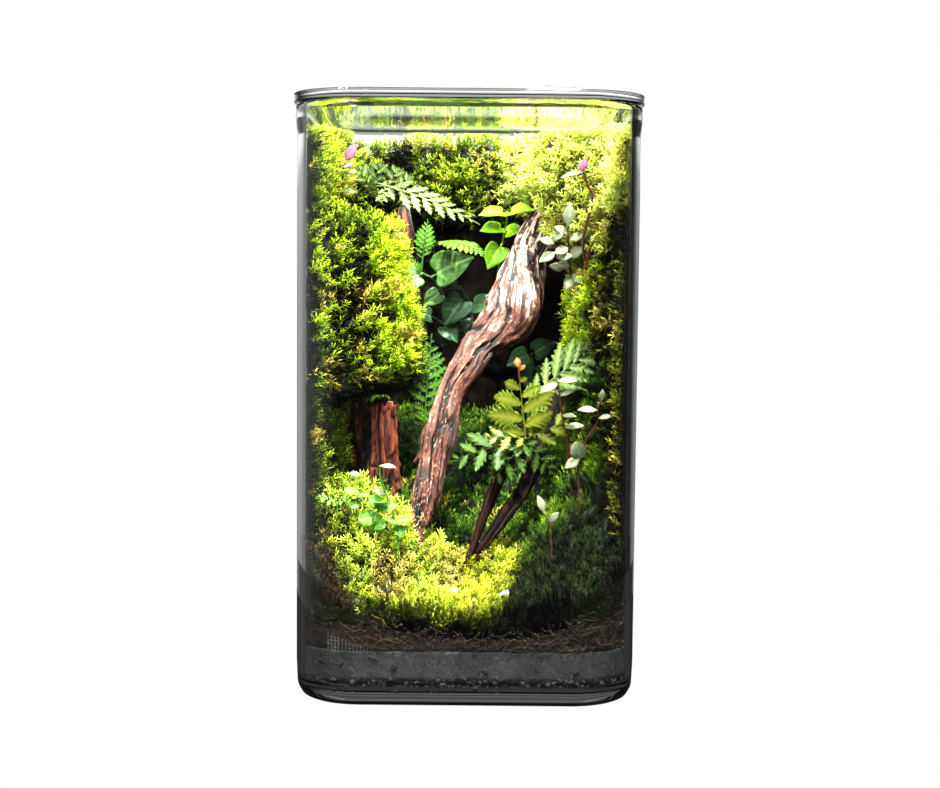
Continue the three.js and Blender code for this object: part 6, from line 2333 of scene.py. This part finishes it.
@dataclass
class Studio:
    """A round pale table top, soft lights, a white surround that reflections see dimmed, and the camera."""

    table_radius: float = 390.0
    table_in_reflections: float = 0.04  # brightness, white being 1
    backdrop: float = 1.5  # brightness of the surround behind the jar
    left_card: float = 0.2  # to its left
    ceiling: float = 0.1  # above it
    room: float = 0.012  # everywhere else
    ambient: float = 0.1  # what the surround adds to the light on the pieces
    lens: float = 73.5
    eye: Vec = (1.81, -1172.2, 232.9)
    pitch: float = 2.89  # degrees
    roll: float = 0.51  # degrees

    def camera(self) -> None:
        """A camera at the eye, pitched down and rolled, looking along +Y."""
        data = bpy.data.cameras.new("camera")
        data.lens, data.sensor_width = self.lens, 36.0
        tilt, roll = math.radians(self.pitch), math.radians(self.roll)
        right = np.array([1.0, 0.0, 0.0])
        up = np.array([0.0, math.sin(tilt), math.cos(tilt)])
        back = np.array([0.0, -math.cos(tilt), math.sin(tilt)])
        x = right * math.cos(roll) + up * math.sin(roll)
        y = up * math.cos(roll) - right * math.sin(roll)
        bpy.context.scene.camera = stand(data, "camera", np.stack([x, y, back]), np.array(self.eye) * MM)

    def table(self) -> None:
        """The pale table top: a flat disc of rings that shrink towards its middle."""
        a = np.linspace(0, 2 * np.pi, 96, endpoint=False)
        rim = np.stack([np.cos(a), np.sin(a), 0 * a], axis=-1) * self.table_radius * MM
        top = np.linspace(0.02, 1, 8)[:, None, None] * rim[None]
        mesh = bpy.data.meshes.new("table_top")
        faces = grid_quads(8, 96, wrap=True).tolist() + [list(range(96))]
        mesh.from_pydata(top.reshape(-1, 3).tolist(), [], faces)
        material = bpy.data.materials.new("matt_white_table")
        material.use_nodes = True
        tree = material.node_tree
        tree.nodes.clear()
        seen = add_node(tree, "Emission", {"Color": linear("ffffff"), "Strength": 1.0})
        mirrored = add_node(tree, "Emission", {"Color": linear("f2eef4"), "Strength": self.table_in_reflections})
        straight = add_node(tree, "LightPath", out="Is Camera Ray")
        add_node(tree, "OutputMaterial", {"Surface": add_node(tree, "MixShader", (straight, mirrored, seen))})
        mesh.materials.append(material)
        stand(mesh, "table_top", np.eye(3), (0.0, 0.0, 0.0))

    def light(self, name: str, place: Vec, aim: Vec, size: float, power: float) -> None:
        """A soft square light.

        Args:
            name: its name.
            place: where it stands, in metres.
            aim: the point it faces, in metres.
            size: the side of its square, in metres.
            power: in watts.
        """
        data = bpy.data.lights.new(name, "AREA")
        data.size, data.energy = size, power
        back = unit(np.array(place) - np.array(aim))
        stand(data, name, axes_about(back[None], np.zeros(1))[0], place)

    def surround(self) -> None:
        """White where it is seen straight. Through and in the glass it is a grey studio: grey behind, paler to
        the left, nearly black to the right and in front, with a pale ceiling."""
        world = bpy.data.worlds.new("studio")
        world.use_nodes = True
        tree = world.node_tree
        tree.nodes.clear()
        towards = add_node(tree, "TexCoord", out="Generated")
        levels = []
        for direction, (low, high), level in (
            ((-0.12, 1.0, 0.0), (0.7, 0.97), self.backdrop),
            ((-1.0, 0.25, 0.0), (0.5, 0.95), self.left_card),
            ((0.0, 0.0, 1.0), (0.82, 0.97), self.ceiling),
        ):
            facing = add_node(tree, "VectorMath", (towards, direction), out="Value", operation="DOT_PRODUCT")
            levels.append(add_node(tree, "MapRange", {
                "Value": facing, "From Min": low, "From Max": high, "To Min": self.room, "To Max": level,
            }, interpolation_type="SMOOTHSTEP"))
        height = add_node(tree, "SeparateXYZ", (towards,), out="Z")
        share = add_node(tree, "Math", (height, 0.5), operation="ADD")
        # the backdrop's level by height, as it shows in the foot, the walls and the lid's edge in turn
        lower = add_node(tree, "ValToRGB", {"Fac": share}, stops=[
            (0.2, "c1c1c1"), (0.64, "4c504a"), (0.28, "919191"), (0.44, "989898"), (0.49, "9c9c9c"),
            (0.55, "b4b4b4"), (0.565, "ffffff"), (0.615, "ffffff"),
        ])
        room = add_node(tree, "Math", (levels[0], lower), operation="MULTIPLY")
        for level in levels[1:]:
            room = add_node(tree, "Math", (room, level), operation="MAXIMUM")
        for ray, level in (("Is Diffuse Ray", self.ambient), ("Is Camera Ray", 1.0)):
            seen = add_node(tree, "LightPath", out=ray)
            room = add_node(tree, "Mix", {0: seen, 6: room, 7: (level, level, level, 1.0)}, **OF_COLOURS)
        add_node(tree, "OutputWorld", {"Surface": add_node(tree, "Background", {"Color": room})})
        bpy.context.scene.world = world

    def build(self) -> None:
        """Sets up the whole studio."""
        self.camera()
        self.table()
        self.surround()
        self.light("key", (0.10, -0.26, 1.35), (0.0, 0.0, 0.2), 0.08, 140.0)
        self.light("fill", (-0.50, -0.60, 1.00), (0.0, 0.0, 0.22), 0.25, 18.0)
        bpy.context.scene.view_settings.view_transform = "Standard"


def main() -> None:
    """Builds every piece in order."""
    logging.basicConfig(level=logging.INFO, format="%(message)s")
    Studio().build()
    Glassware().build()
    Gravel().build()
    Screen().build()
    Soil().build()
    PeatBank().build()
    Litter("soil_litter", "soil", Look.LITTER, SOIL_FOOT + 1, 1600, 1500, 31).build()
    Litter("gravel_litter", "soil", Look.SOIL, BASE_THICK + 5, 34, 110, 33, 2.4).build(SOIL_FOOT + 3)
    Woodwork().build()
    for cushion in moss():
        cushion.build()
    for seed, plant in enumerate(ferns() + figs() + creepers()):
        plant.build(100 + seed)
    Grit().build()


if __name__ == "__main__":
    main()
